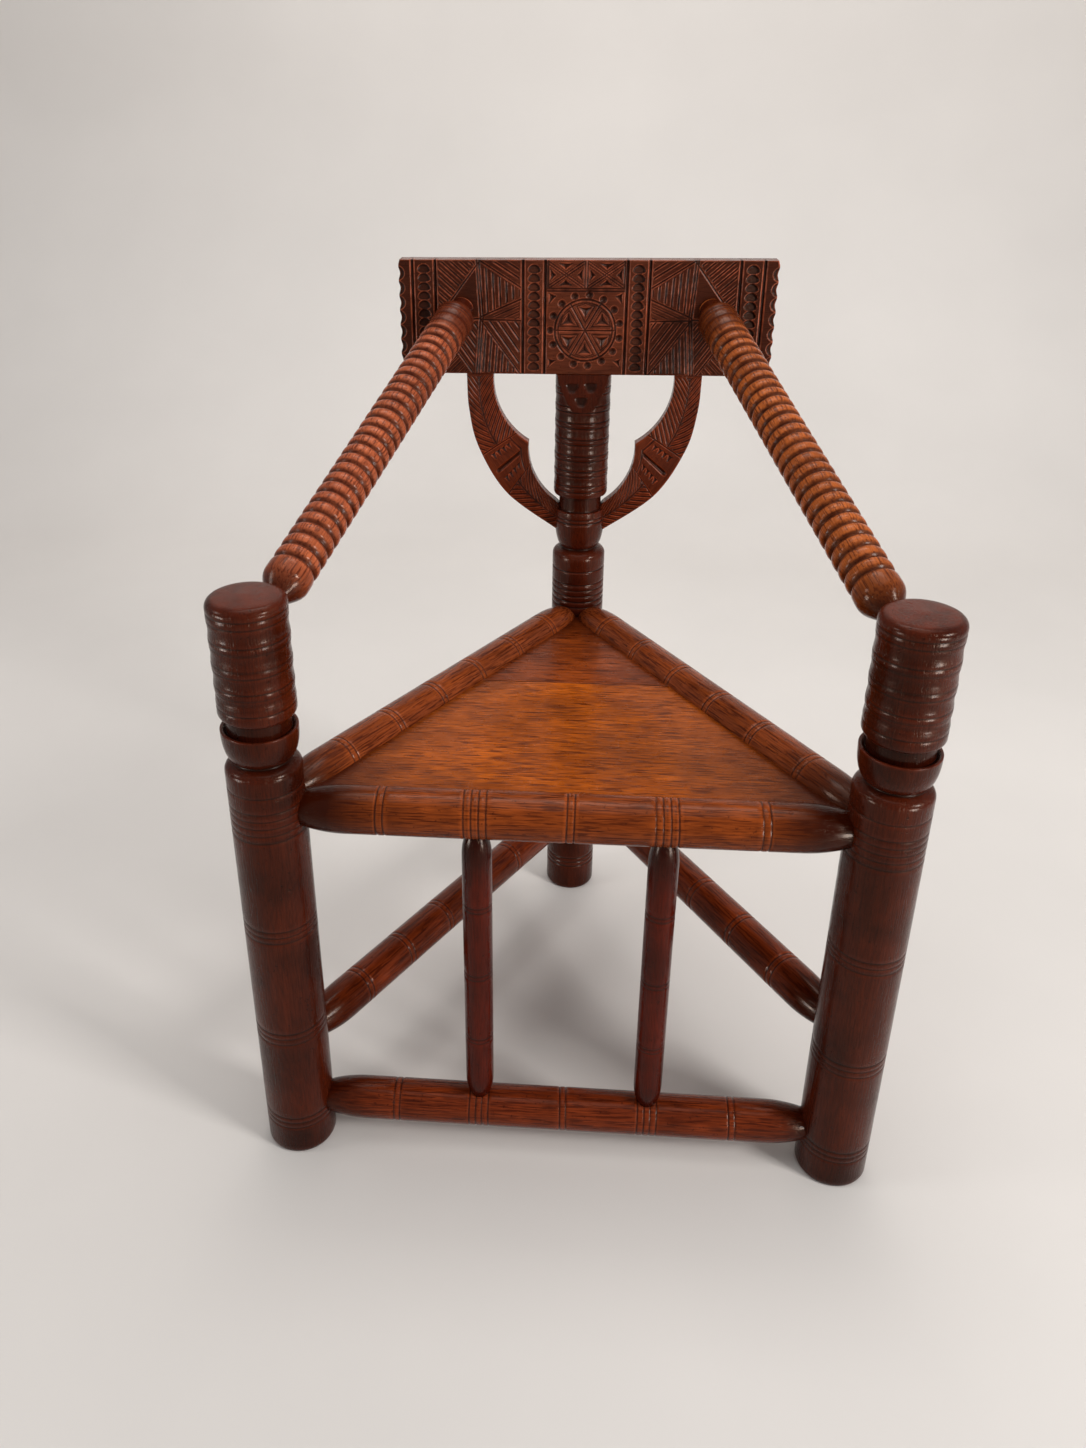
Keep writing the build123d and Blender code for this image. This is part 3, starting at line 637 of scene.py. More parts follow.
def node(tree, kind, inputs, **settings):
    """Adds one node, sets its properties and gives each input a value or a link."""
    made = tree.nodes.new(kind)
    for key, value in settings.items():
        setattr(made, key, value)
    for key, value in inputs.items():
        if isinstance(value, bpy.types.NodeSocket):
            tree.links.new(value, made.inputs[key])
        else:
            made.inputs[key].default_value = value
    return made


def mixed(tree, factor, first, second, blend="MIX"):
    """Colour between two colours."""
    made = node(tree, "ShaderNodeMix", {0: factor, 6: first, 7: second}, data_type="RGBA", blend_type=blend)
    return made.outputs[2]


def ranged(tree, value, low, high, to_low=0.0, to_high=1.0):
    """Value moved from one range to another and clamped."""
    sockets = {"Value": value, "From Min": low, "From Max": high, "To Min": to_low, "To Max": to_high}
    return node(tree, "ShaderNodeMapRange", sockets).outputs[0]


def sums(tree, operation, first, second):
    """One arithmetic step."""
    return node(tree, "ShaderNodeMath", {0: first, 1: second}, operation=operation).outputs[0]


def noise(tree, vector, scale, detail=3.0, distortion=0.0):
    """Value of a noise texture."""
    sockets = {"Vector": vector, "Scale": scale, "Detail": detail, "Distortion": distortion}
    return node(tree, "ShaderNodeTexNoise", sockets).outputs[0]


def stretched(tree, vector, across, along):
    """Place scaled across and along the grain."""
    scale = {0: vector, 1: (across, across, along)}
    return node(tree, "ShaderNodeVectorMath", scale, operation="MULTIPLY").outputs[0]


def new_group(name, inputs, outputs):
    """An empty shader node group with named sockets, its tree, input node and output node."""
    tree = bpy.data.node_groups.new(name, "ShaderNodeTree")
    for label, kind in inputs:
        tree.interface.new_socket(label, in_out="INPUT", socket_type=kind)
    for label, kind in outputs:
        tree.interface.new_socket(label, in_out="OUTPUT", socket_type=kind)
    return tree, tree.nodes.new("NodeGroupInput").outputs, tree.nodes.new("NodeGroupOutput").inputs


FLOAT = "NodeSocketFloat"
COLOUR = "NodeSocketColor"
VECTOR = "NodeSocketVector"


def grain_group():
    """Oak figure along the third axis of Place: broad streaks, contour bands of a stretched noise for
    the growth rings, fine fibres and short dark pores."""
    inputs = (("Place", VECTOR), ("Dark", COLOUR), ("Middle", COLOUR), ("Light", COLOUR),
              ("Bands", FLOAT), ("Pores", FLOAT), ("Fibre", FLOAT), ("Fineness", FLOAT))
    outputs = (("Color", COLOUR), ("Height", FLOAT))
    tree, given, out = new_group("Oak grain", inputs, outputs)
    sockets = {0: given["Place"], "Scale": given["Fineness"]}
    place = node(tree, "ShaderNodeVectorMath", sockets, operation="SCALE").outputs[0]
    broad = noise(tree, stretched(tree, place, 1.0, 0.16), 42.0, 3.0)
    field = noise(tree, stretched(tree, place, 1.0, 0.09), 20.0, 1.5, 0.4)
    waves = sums(tree, "SINE", sums(tree, "MULTIPLY", field, 210.0), 0.0)
    fibre = noise(tree, stretched(tree, place, 1.0, 0.06), 520.0, 5.0)
    dashes = noise(tree, stretched(tree, place, 1.0, 0.06), 430.0, 2.0)
    pore = ranged(tree, dashes, 0.54, 0.61)
    band = ranged(tree, waves, -0.2, 1.0)
    colour = mixed(tree, ranged(tree, broad, 0.38, 0.62), given["Middle"], given["Light"])
    colour = mixed(tree, sums(tree, "MULTIPLY", band, given["Bands"]), colour, given["Dark"])
    thread = sums(tree, "MULTIPLY", ranged(tree, fibre, 0.42, 0.64), given["Fibre"])
    colour = mixed(tree, thread, colour, given["Dark"])
    colour = mixed(tree, sums(tree, "MULTIPLY", pore, given["Pores"]), colour, given["Dark"])
    tree.links.new(colour, out["Color"])
    tree.links.new(sums(tree, "SUBTRACT", fibre, pore), out["Height"])
    return tree


def patina_and_light_group():
    """Old finish and painted light: blotches, a dark colour for grime and painted shade in the hollows and
    along the shade mask (dark joints and painted shade), edges lightened for wear and painted highlights,
    dents, and the roughness and height that go with them."""
    inputs = (("Place", VECTOR), ("Color", COLOUR), ("Dirt_and_shade", COLOUR), ("Wear_and_highlight", COLOUR),
              ("Recess", FLOAT), ("Edge", FLOAT), ("Shade", FLOAT), ("Gloss", FLOAT), ("Cloud", FLOAT))
    outputs = (("Color", COLOUR), ("Roughness", FLOAT), ("Height", FLOAT))
    tree, given, out = new_group("Patina_and_painted_light", inputs, outputs)
    place = given["Place"]
    blotch = noise(tree, place, 14.0, 4.0)
    patch = noise(tree, place, 70.0, 4.0)
    dents = ranged(tree, noise(tree, place, 260.0, 1.0), 0.68, 0.74)
    # Edges lighten towards the light copy of the colour: real wear and painted highlights on ridges and
    # rims.
    worn = sums(tree, "MULTIPLY", given["Edge"], ranged(tree, patch, 0.35, 0.6, 0.25, 0.95))
    # Hollows darken towards the dark copy: real grime and painted shade in the grooves and cuts.
    grime_and_shade = sums(tree, "MULTIPLY", given["Recess"], ranged(tree, patch, 0.3, 0.6, 1.0, 0.75))
    cloud = sums(tree, "MULTIPLY", ranged(tree, blotch, 0.42, 0.65), given["Cloud"])
    # The shade mask darkens towards the same copy: dark joints and painted shade.
    dim = ranged(tree, sums(tree, "ADD", given["Shade"], sums(tree, "MULTIPLY", patch, 0.25)), 0.12, 1.1)
    colour = mixed(tree, cloud, given["Color"], given["Dirt_and_shade"])
    colour = mixed(tree, dim, colour, given["Dirt_and_shade"])
    colour = mixed(tree, worn, colour, given["Wear_and_highlight"])
    colour = mixed(tree, grime_and_shade, colour, given["Dirt_and_shade"])
    colour = mixed(tree, sums(tree, "MULTIPLY", dents, 0.5), colour, given["Dirt_and_shade"])
    rough = sums(tree, "ADD", given["Gloss"], ranged(tree, patch, 0.3, 0.7, -0.05, 0.1))
    rough = sums(tree, "ADD", rough, sums(tree, "MULTIPLY", given["Recess"], 0.25))
    tree.links.new(colour, out["Color"])
    tree.links.new(rough, out["Roughness"])
    tree.links.new(sums(tree, "SUBTRACT", patch, dents), out["Height"])
    return tree


def shared_group(name, make):
    """The node group of that name, made on first use."""
    return bpy.data.node_groups.get(name) or make()


def shifted(colour, factors):
    """Colour with each part multiplied and held below one, with full alpha."""
    return tuple(min(1.0, c * f) for c, f in zip(colour, factors)) + (1.0,)


def wood(name, colour, bands=0.2, pores=0.3, fibre=0.35, fine=1.5, gloss=0.17, wear_and_highlight=2.0, cloud=0.35):
    """Stained wood under a thin polish: grain group, a group for old finish with painted shade and
    highlights, and bump into one Principled shader.
    """
    found = bpy.data.materials.get(name)
    if found:
        return found
    material = bpy.data.materials.new(name)
    material.use_nodes = True
    tree = material.node_tree
    shader = tree.nodes["Principled BSDF"]
    place = node(tree, "ShaderNodeAttribute", {}, attribute_name="place").outputs["Vector"]
    grain = node(tree, "ShaderNodeGroup", {}, node_tree=shared_group("Oak grain", grain_group))
    patina_and_light = node(tree, "ShaderNodeGroup", {}, node_tree=shared_group("Patina_and_painted_light", patina_and_light_group))
    settings = (
        (grain, "Dark", shifted(colour, (0.30, 0.24, 0.24))),
        (grain, "Middle", shifted(colour, (1, 1, 1))),
        (grain, "Light", shifted(colour, (1.26, 1.3, 1.2))),
        (grain, "Bands", bands),
        (grain, "Pores", pores),
        (grain, "Fibre", fibre),
        (grain, "Fineness", fine),
        # The dark copy of the colour stands for grime and painted shade; the light copy for wear and painted
        # highlights.
        (patina_and_light, "Dirt_and_shade", shifted(colour, (0.11, 0.065, 0.055))),
        (patina_and_light, "Wear_and_highlight", shifted(colour, (wear_and_highlight, wear_and_highlight, wear_and_highlight))),
        (patina_and_light, "Gloss", gloss),
        (patina_and_light, "Cloud", cloud),
    )
    for holder, key, value in settings:
        holder.inputs[key].default_value = value
    for key in ("Recess", "Edge", "Shade"):
        mask = node(tree, "ShaderNodeAttribute", {}, attribute_name=key.lower())
        tree.links.new(mask.outputs["Fac"], patina_and_light.inputs[key])
    for holder in (grain, patina_and_light):
        tree.links.new(place, holder.inputs["Place"])
    tree.links.new(grain.outputs["Color"], patina_and_light.inputs["Color"])
    height = sums(tree, "ADD", grain.outputs["Height"], patina_and_light.outputs["Height"])
    bump = node(tree, "ShaderNodeBump", {"Height": height, "Strength": 0.3, "Distance": 0.0006})
    tree.links.new(patina_and_light.outputs["Color"], shader.inputs["Base Color"])
    tree.links.new(patina_and_light.outputs["Roughness"], shader.inputs["Roughness"])
    tree.links.new(bump.outputs["Normal"], shader.inputs["Normal"])
    shader.inputs["Specular IOR Level"].default_value = 0.12
    shader.inputs["Specular Tint"].default_value = (1.0, 0.7, 0.48, 1.0)
    shader.inputs["Coat Weight"].default_value = 0.1
    shader.inputs["Coat Roughness"].default_value = 0.16
    return material


def backdrop_material(colour):
    """Pale painted paper with faint clouds."""
    material = bpy.data.materials.new("pale_paper")
    material.use_nodes = True
    tree = material.node_tree
    place = node(tree, "ShaderNodeTexCoord", {}).outputs["Object"]
    cloud = ranged(tree, noise(tree, place, 1.3, 4.0), 0.3, 0.7)
    pale = mixed(tree, cloud, shifted(colour, (0.95, 0.95, 0.95)), shifted(colour, (1.03, 1.03, 1.03)))
    shader = tree.nodes["Principled BSDF"]
    tree.links.new(pale, shader.inputs["Base Color"])
    shader.inputs["Roughness"].default_value = 0.9
    shader.inputs["Specular IOR Level"].default_value = 0.1
    return material


def dress(piece, slot, *nodes):
    """A finished piece rides on the chair and stands for CAD nodes, which are hidden; the slot is not used.
    """
    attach(piece, "root")
    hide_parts(*nodes)


def put_turned(name, made, foot, along, material, slot, node_name):
    piece = put_turning(name, made, aimed(made["place"], foot, along), material)
    dress(piece, slot, node_name)


def finish_of(context):
    """The chair's colours."""
    return context.scene.chair_finish


def sizes_of(context):
    """The chair's ornament sizes."""
    return context.scene.chair_sizes


SIDES = ((-1, "left"), (1, "right"))
UPRIGHT = (0, 0, 1)


# Pieces


def post_wood(context):
    """The posts' dark wood."""
    return wood("post_wood", finish_of(context).post, cloud=0.6)


def shaft_profile(radius, top):
    """Profile from the floor up a post's shaft to its rounded shoulder."""
    bevel, rise = FOOT_BEVEL
    across, down = SHOULDER
    return profile(
        (0, 0),
        (radius - bevel, 0),
        (radius, rise),
        (radius, top - down),
        eased(radius, top - down, radius - across, top),
    )


def shaft_lines(top):
    """Heights of the scribed lines on a shaft."""
    drop, count, step = SHAFT_TOP_LINES
    lines = [z for share in SHAFT_RINGS for z in group(share * top, 3)]
    return lines + group(top - drop, count, step) + [top - SHAFT_LAST_LINE]


def ring_lines(rings):
    """Heights of the pair of lines at each ring."""
    return [z for ring in rings for z in group(ring, 2)]


def drum_profile(radius, low, rings, waist):
    """Profile up a drum, drawn in by the waist between the pairs of rings."""
    bevel, rise = DRUM_EDGE
    parts = [(radius - bevel, low), (radius, low + rise)]
    swell = np.sin(np.linspace(0, math.pi, 12))
    stops = sorted(rings)
    for start, end in zip(stops, stops[1:]):
        z = np.linspace(start + RING_HALF, end - RING_HALF, len(swell))
        parts.append(np.stack([radius - waist * swell, z], 1))
    return profile(*parts)


class CHAIR_OT_front_posts(bpy.types.Operator):
    """Turn the two front posts with their ringed drums"""

    bl_idname = "chair.front_posts"
    bl_label = "Front posts"

    def execute(self, context):
        r, top = FRONT_R, FRONT_H
        shoulder, cup, rim, drum = [top - drop for drop in FRONT_DROPS]
        rings = [top - drop for drop in FRONT_RING_DROPS]
        foot_in, rim_in, lip = FRONT_CUP
        inner, rise, well = FRONT_RIM
        across, down, crown = FRONT_TOP
        outline = profile(
            shaft_profile(r, shoulder),
            (r - foot_in, cup - CUP_THROAT),
            bowl(r - rim_in, rim - lip, r - foot_in, cup),
            (r - rim_in, rim),
            (r - inner, rim + rise),
            (r - FRONT_NECK, rim - well),
            (r - FRONT_NECK, drum),
            drum_profile(r, drum, rings, FRONT_WAIST),
            (r, top - down),
            eased(r, top - down, r - across, top - crown),
            (0, top),
        )
        lines = shaft_lines(shoulder) + ring_lines(rings)
        # Shade stops: darker at the foot, painted shade in the neck between the cup's rim and the drum.
        shade = [(0, 0.45), (40, 0.1), (cup - 4, 0.1), (rim, 0.15)]
        shade += [(rim + 3, 0.6), (drum, 0.6), (drum + 3, 0.05), (top, 0.0)]
        for side, word in SIDES:
            seed = 0.7 + side * 0.37
            made = turning(outline, lines, POST_SEGMENTS, sizes_of(context), seed, shade, deep=0.65)
            # The top face lightens like an edge: wear, and painted light on the face turned up.
            on_top = made["place"][..., 2] > top - crown - 0.1
            made["edge"] = np.maximum(made["edge"], 0.6 * on_top)
            foot = (side * FRONT_X, FRONT_Y, 0)
            name = f"front_post_{word}"
            put_turned(f"{name}_turned", made, foot, UPRIGHT, post_wood(context), "wood_post", name)
        return {"FINISHED"}


class CHAIR_OT_back_post(bpy.types.Operator):
    """Turn the back post, pare its head to two facets and cut the three half-moons"""

    bl_idname = "chair.back_post"
    bl_label = "Back post"

    def execute(self, context):
        r, head = BACK_R, CREST_Z
        shoulder, cup, rim, drum = [head - drop for drop in BACK_DROPS]
        rings = [head - drop for drop in BACK_RING_DROPS]
        foot_in, rim_in, lip = BACK_CUP
        outline = profile(
            shaft_profile(r, shoulder),
            (r - foot_in, cup - CUP_THROAT),
            bowl(r - rim_in, rim - lip, r - foot_in, cup),
            (r - BACK_RIM, rim),
            (r - BACK_NECK, rim),
            (r - BACK_NECK, drum),
            drum_profile(r, drum, rings, BACK_WAIST),
            (r, head - HEAD_GAP),
            (0, head - HEAD_GAP),
        )
        lines = shaft_lines(shoulder) + [rim - drop for drop in BACK_CUP_LINES] + ring_lines(rings)
        # Shade stops: darker at the foot, painted shade in the neck between the cup's rim and the drum, and
        # a little under the crest.
        shade = [(0, 0.4), (40, 0.15), (rim, 0.05), (rim + 3, 0.4)]
        shade += [(drum, 0.4), (drum + 3, 0.0), (head, 0.15)]
        sizes = sizes_of(context)
        crowd = (head - FACET_DROP, head)
        made = turning(outline, lines, BACK_SEGMENTS, sizes, 1.9, shade, deep=1.3, crowd=crowd)
        points = self.pare(made, head)
        piece = put_turning("back_post_turned", made, points, post_wood(context))
        dress(piece, "wood_post", "back_post")
        return {"FINISHED"}

    def pare(self, made, head):
        """Flattens the head in front and behind to facets that slope from the full radius to the
        crest's thickness, sinks the half-moons into the front one, and returns the points."""
        thin = (CREST_REAR_Y - CREST_FACE_Y) / 2 + FACET_CLEAR
        slope = np.clip((head - made["place"][..., 2]) / FACET_DROP, 0, 1)
        limit = np.where(slope < 1, thin + (BACK_R - thin) * slope, 2 * BACK_R)
        points = aimed(made["place"], (0, BACK_Y, 0), UPRIGHT)
        y = points[..., 1] - BACK_Y
        pared = np.abs(y) > limit
        y = np.clip(y, -limit, limit)
        drop = head - points[..., 2]
        cuts = [thumb(points[..., 0], drop, moon, *MOON_HALF, 0, MOON_DEPTH, MOON_FLAT) for moon in MOONS]
        moons = deepest(cuts) * pared
        points[..., 1] = BACK_Y + y + np.where(y < 0, moons, 0)
        # The half-moons darken like other hollows: grime and painted shade.
        made["recess"] = np.where(pared, np.clip(moons / 2.2, 0, 1), made["recess"])
        made["edge"] = np.where(pared, 0.0, made["edge"])
        return points


def put_rail(context, name, slot, foot, head, radius, lines, ends, material, shade, seed):
    """A bullet-ended rail from one post axis to another: its ends swell from the nose along a circle."""
    foot, head = np.array(foot, float), np.array(head, float)
    length = np.linalg.norm(head - foot)
    start, end = ends[0] - COPE, length - ends[1] + COPE
    nose = RAIL_NOSE * radius
    outline = profile(
        (0, start),
        eased(radius, start + RAIL_TAPER, nose, start)[::-1],
        eased(radius, end - RAIL_TAPER, nose, end),
        (0, end),
    )
    stops = [(start + at, value) for at, value in shade[0]]
    stops += [(end - at, value) for at, value in shade[1][::-1]]
    made = turning(outline, lines, RAIL_SEGMENTS, sizes_of(context), seed, stops)
    put_turned(f"{name}_turned", made, foot, head - foot, material, slot, name)


def front_lines():
    """Places of the lines on a front rail: pairs at the middle and near the ends, fours at the spindles."""
    places = group(FRONT_X, 2)
    for side in (-1, 1):
        places += group(FRONT_X + side * SPINDLE_X, 4)
        places += group(FRONT_X + side * FRONT_PAIRS_OUT, 2)
    return places


def side_lines():
    """Places of the pairs of lines on a side rail, from the front post axis."""
    count, first, pitch = SIDE_LINES
    return [z for i in range(count) for z in group((first + i * pitch) * SIDE_LENGTH, 2)]


class CHAIR_OT_seat_rails(bpy.types.Operator):
    """Turn the three rails that hold the seat"""

    bl_idname = "chair.seat_rails"
    bl_label = "Seat rails"

    def execute(self, context):
        finish = finish_of(context)
        material = wood("front_rail_wood", finish.front_rail, 0.2, 0.9, 0.6, 1.3)
        dark_ends = ((0, 1.1), (30, 1.0), (100, 0.15))
        left, right, back = (-FRONT_X, FRONT_Y, RAIL_Z), (FRONT_X, FRONT_Y, RAIL_Z), (0, BACK_Y, RAIL_Z)
        put_rail(
            context, "front_seat_rail", "wood_rail", left, right, RAIL_R, front_lines(),
            (FRONT_R, FRONT_R), material, (dark_ends, dark_ends), 2.3,
        )
        material = wood("side_rail_wood", finish.side_rail, 0.15, 0.9, 0.6, 1.3)
        shade = (((0, 0.9), (28, 0.7), (75, 0.1)), ((0, 0.6), (30, 0.1)))
        for (side, word), foot in zip(SIDES, (left, right)):
            put_rail(
                context, f"side_seat_rail_{word}", "wood_rail", foot, back, RAIL_R, side_lines(),
                (FRONT_R, BACK_R), material, shade, 3.1 + side * 0.4,
            )
        return {"FINISHED"}


class CHAIR_OT_stretchers(bpy.types.Operator):
    """Turn the three low stretchers"""

    bl_idname = "chair.stretchers"
    bl_label = "Stretchers"

    def execute(self, context):
        material = wood("stretcher_wood", finish_of(context).stretcher, 0.3, 0.8, 0.6, 1.2)
        ends = ((0, 0.8), (25, 0.6), (70, 0.1))
        for name, foot_x, head_x, head_y, lines, seed in (
            ("front_stretcher", -FRONT_X, FRONT_X, FRONT_Y, front_lines(), 4.2),
            ("side_stretcher_left", -FRONT_X, 0, BACK_Y, side_lines(), 4.9),
            ("side_stretcher_right", FRONT_X, 0, BACK_Y, side_lines(), 5.3),
        ):
            low, high = box_mm(name)
            radius = (high[2] - low[2]) / 2
            z = low[2] + radius
            far = FRONT_R if head_x else BACK_R
            put_rail(
                context, name, "wood_post", (foot_x, FRONT_Y, z), (head_x, head_y, z), radius, lines,
                (FRONT_R, far), material, (ends, ends), seed,
            )
        return {"FINISHED"}


class CHAIR_OT_spindles(bpy.types.Operator):
    """Turn the two spindles between the front stretcher and the front seat rail"""

    bl_idname = "chair.spindles"
    bl_label = "Spindles"

    def execute(self, context):
        low, high = box_mm("front_stretcher")
        foot_z = (low[2] + high[2]) / 2
        start = high[2] - SPINDLE_SINK
        end = RAIL_LOW[2] + SPINDLE_SINK
        middle = (start + end) / 2
        pitch, step = SPINDLE_LINES
        lines = [z for i in (-1, 0, 1) for z in group(middle + i * pitch * (end - start), 2, step)]
        outline = profile(
            (0, foot_z),
            (SPINDLE_NOSE, foot_z),
            eased(SPINDLE_R, start + SPINDLE_TAPER, SPINDLE_NOSE, start)[::-1],
            eased(SPINDLE_R, end - SPINDLE_TAPER, SPINDLE_NOSE, end),
            (SPINDLE_NOSE, RAIL_Z),
            (0, RAIL_Z),
        )
        shade = ((start, 0.7), (start + 35, 0.1), (end - 60, 0.15), (end - 20, 0.7))
        material = wood("spindle_wood", finish_of(context).spindle)
        for side, word in SIDES:
            seed = 6.0 + side * 0.3
            made = turning(outline, lines, SPINDLE_SEGMENTS, sizes_of(context), seed, shade, deep=0.6)
            foot = (side * SPINDLE_X, FRONT_Y, 0)
            name = f"spindle_{word}"
            put_turned(f"{name}_turned", made, foot, UPRIGHT, material, "wood_post", name)
        return {"FINISHED"}


class CHAIR_OT_arms(bpy.types.Operator):
    """Turn the two arms: a row of close rounded rings between a bell at the post and a neck at the crest"""

    bl_idname = "chair.arms"
    bl_label = "Arms"

    def execute(self, context):
        finish = finish_of(context)
        foot = np.array([FRONT_X, FRONT_Y, FRONT_H - ARM_POST_DROP])
        head = np.array([ARM_CREST_X, CREST_FACE_Y, CREST_Z + ARM_CREST_UP])
        length = np.linalg.norm(head - foot)
        start = FRONT_R * length / math.hypot(*(head - foot)[:2]) - COPE
        full = start + ARM_BULB
        outline = self.outline(start, full, length, sizes_of(context).ring_depth / MM)
        # Shade stops: painted shade on the bell at the post, and darker towards the crest.
        shade = [(start, 1.0), (start + 22, 0.9), (start + 42, 0.4), (full + 25, 0.05)]
        shade += [(length - 90, 0.05), (length - 55, 0.7), (length - 6, 1.1)]
        lines = group(length - ARM_R - 4, 2, 5.0)
        for side, word in SIDES:
            colour = finish.arm_left if side < 0 else finish.arm_right
            material = wood(f"arm_wood_{word}", colour, 0.15, 0.95, 0.5, 1.2, 0.13)
            seed = 7.0 + side * 0.35
            made = turning(outline, lines, ARM_SEGMENTS, sizes_of(context), seed, shade, deep=0.5)
            across_x, across_y, along = np.moveaxis(made["place"], -1, 0)
            # Ring grooves darken like hollows: grime and painted shade.
            hollow = (ARM_R - np.hypot(across_x, across_y) - 0.35) / 0.9
            grooved = (along > full) & (along < length - ARM_R)
            made["recess"] = np.maximum(made["recess"], np.clip(hollow, 0, 1) * grooved)
            flip = np.array([side, 1, 1])
            name = f"arm_{word}"
            put_turned(f"{name}_turned", made, foot * flip, (head - foot) * flip, material, "wood_arm", name)
        return {"FINISHED"}

    def outline(self, start, full, length, depth):
        """Profile of an arm: a neck, a bell that swells by a power of half a cosine wave, rings between
        grooves whose depth is a power of the nearness to their middle, and a neck into the crest."""
        ring_low = full + 0.35 * ARM_BULB
        ring_high = length - ARM_BULB
        pitch = (ring_high - ring_low) / (ARM_RINGS - 1)
        worn, left = ARM_WORN
        z = np.arange(full, length - ARM_R, 0.25)
        beat = np.abs((z - ring_low) / pitch - np.round((z - ring_low) / pitch))
        ringed = (z > ring_low - pitch / 2) & (z < ring_high + pitch / 2)
        sunk = np.where(ringed, (1 - 2 * beat) ** ARM_RING_SHAPE, 0) * np.where(z > length - worn, left, 1)
        bell = np.linspace(0, 1, 24)
        throat = ARM_NECK - ARM_THROAT
        bell_r = throat + (ARM_R - throat) * (0.5 - 0.5 * np.cos(math.pi * bell)) ** 0.75
        return profile(
            (0, start),
            (ARM_NECK, start),
            (throat, start + 10),
            np.stack([bell_r, start + 14 + (ARM_BULB - 15) * bell], 1),
            np.stack([ARM_R - depth * sunk, z], 1),
            eased(ARM_R, length - ARM_R, ARM_NECK, length - 9),
            (ARM_NECK, length + ARM_SINK),
            (0, length + ARM_SINK),
        )


class CHAIR_OT_crest(bpy.types.Operator):
    """Carve the crest board: height of the face over a grid of width and height"""

    bl_idname = "chair.crest"
    bl_label = "Crest board"

    def execute(self, context):
        deep = sizes_of(context).carving_depth / MM
        cols = int(2 * CREST_HALF / CREST_SPACING)
        rows = int(CREST_H / CREST_SPACING)
        x, w = np.meshgrid(np.linspace(-CREST_HALF, CREST_HALF, cols), np.linspace(0, CREST_H, rows))
        depth = crest_depth(x, w, deep)
        # Hollows of the carving darken as grime and painted shade, ridges lighten as wear and painted
        # highlights; the rims and the worn right end lighten too.
        recess, edge = masks_of(depth, CREST_SPACING)
        rim = np.minimum(np.minimum(w, CREST_H - w), CREST_HALF - np.abs(x))
        depth = depth + 0.9 * np.clip(1 - rim / 1.2, 0, 1) ** 2
        depth += 0.12 * np.sin(x / 31 + w / 17) + 0.12
        edge = np.maximum(edge, 0.5 * np.clip(1 - rim / 1.6, 0, 1))
        edge = np.maximum(edge, 1.6 * np.clip(1 - (CREST_HALF - x) / 2.4, 0, 1))
        shown_x = self.scalloped(x, w)
        front = np.stack([shown_x, CREST_FACE_Y + depth, CREST_Z + w], axis=-1)
        set_border(front, 1, CREST_FACE_Y + CREST_BORDER)
        thickness = (0, CREST_REAR_Y - CREST_FACE_Y - CREST_BORDER, 0)
        grain = np.stack([w, depth, x], axis=-1)
        shade = 0.6 * np.clip((np.abs(x) - 45) / 60, 0, 1)
        material = wood("crest_wood", finish_of(context).crest, 0.15, 0.3, 0.3, wear_and_highlight=3.6)
        piece = put_board("crest_board_carved", front, thickness, grain, recess, edge, shade, material)
        dress(piece, "wood_carved", "crest_board")
        return {"FINISHED"}

    def scalloped(self, x, w):
        """Width with both ends drawn in at the notches by a cosine of the height."""
        solid, drawn_in = 211, 1.8
        outer = np.clip((np.abs(x) - solid) / (CREST_HALF - solid), 0, 1) ** 2
        waves = 0.5 + 0.5 * np.cos(TURN * (w - SCALLOPS[1]) / SCALLOPS[2])
        return x - np.sign(x) * drawn_in * outer * waves


def curve_through(points, count):
    """A smooth line through points: each coordinate follows a Catmull-Rom cubic in the running number
    of the point, then is spaced evenly along its length."""
    knots = np.array(points, float)
    ends = [2 * knots[0] - knots[1], *knots, 2 * knots[-1] - knots[-2]]
    padded = np.array(ends)
    t = np.linspace(0, len(knots) - 1, 40 * len(knots))
    i = np.minimum(t.astype(int), len(knots) - 2)
    f = (t - i)[:, None]
    a, b, c, d = padded[i], padded[i + 1], padded[i + 2], padded[i + 3]
    line = 0.5 * (2 * b + (c - a) * f + (2 * a - 5 * b + 4 * c - d) * f**2 + (3 * b - a - 3 * c + d) * f**3)
    run = np.concatenate([[0], np.cumsum(np.hypot(*np.diff(line, axis=0).T))])
    even = np.linspace(0, run[-1], count)
    return np.stack([np.interp(even, run, line[:, k]) for k in (0, 1)], 1)


def arc_through(start, middle, end, count):
    """Points of the circle through three points, from the first to the last."""
    (ax, ay), (bx, by), (cx, cy) = start, middle, end
    d = 2 * (ax * (by - cy) + bx * (cy - ay) + cx * (ay - by))
    ox = ((ax**2 + ay**2) * (by - cy) + (bx**2 + by**2) * (cy - ay) + (cx**2 + cy**2) * (ay - by)) / d
    oy = ((ax**2 + ay**2) * (cx - bx) + (bx**2 + by**2) * (ax - cx) + (cx**2 + cy**2) * (bx - ax)) / d
    angles = np.unwrap([math.atan2(y - oy, x - ox) for x, y in (start, middle, end)])
    a = np.linspace(angles[0], angles[2], count)
    radius = math.hypot(ax - ox, ay - oy)
    return np.stack([ox + radius * np.cos(a), oy + radius * np.sin(a)], 1)


def brace_edges(rows):
    """Inner and outer edge of a brace as distance from the middle and drop below the crest, row by row
    from the top to the foot."""
    outer = curve_through(BRACE_OUTER, rows)
    upper = arc_through(*BRACE_UPPER, rows)
    lower = arc_through(*BRACE_LOWER, rows)
    inner = np.concatenate([upper, lower[1:], [BRACE_END]])
    run = np.concatenate([[0], np.cumsum(np.hypot(*np.diff(inner, axis=0).T))])
    even = np.linspace(0, run[-1], rows)
    return np.stack([np.interp(even, run, inner[:, k]) for k in (0, 1)], 1), outer


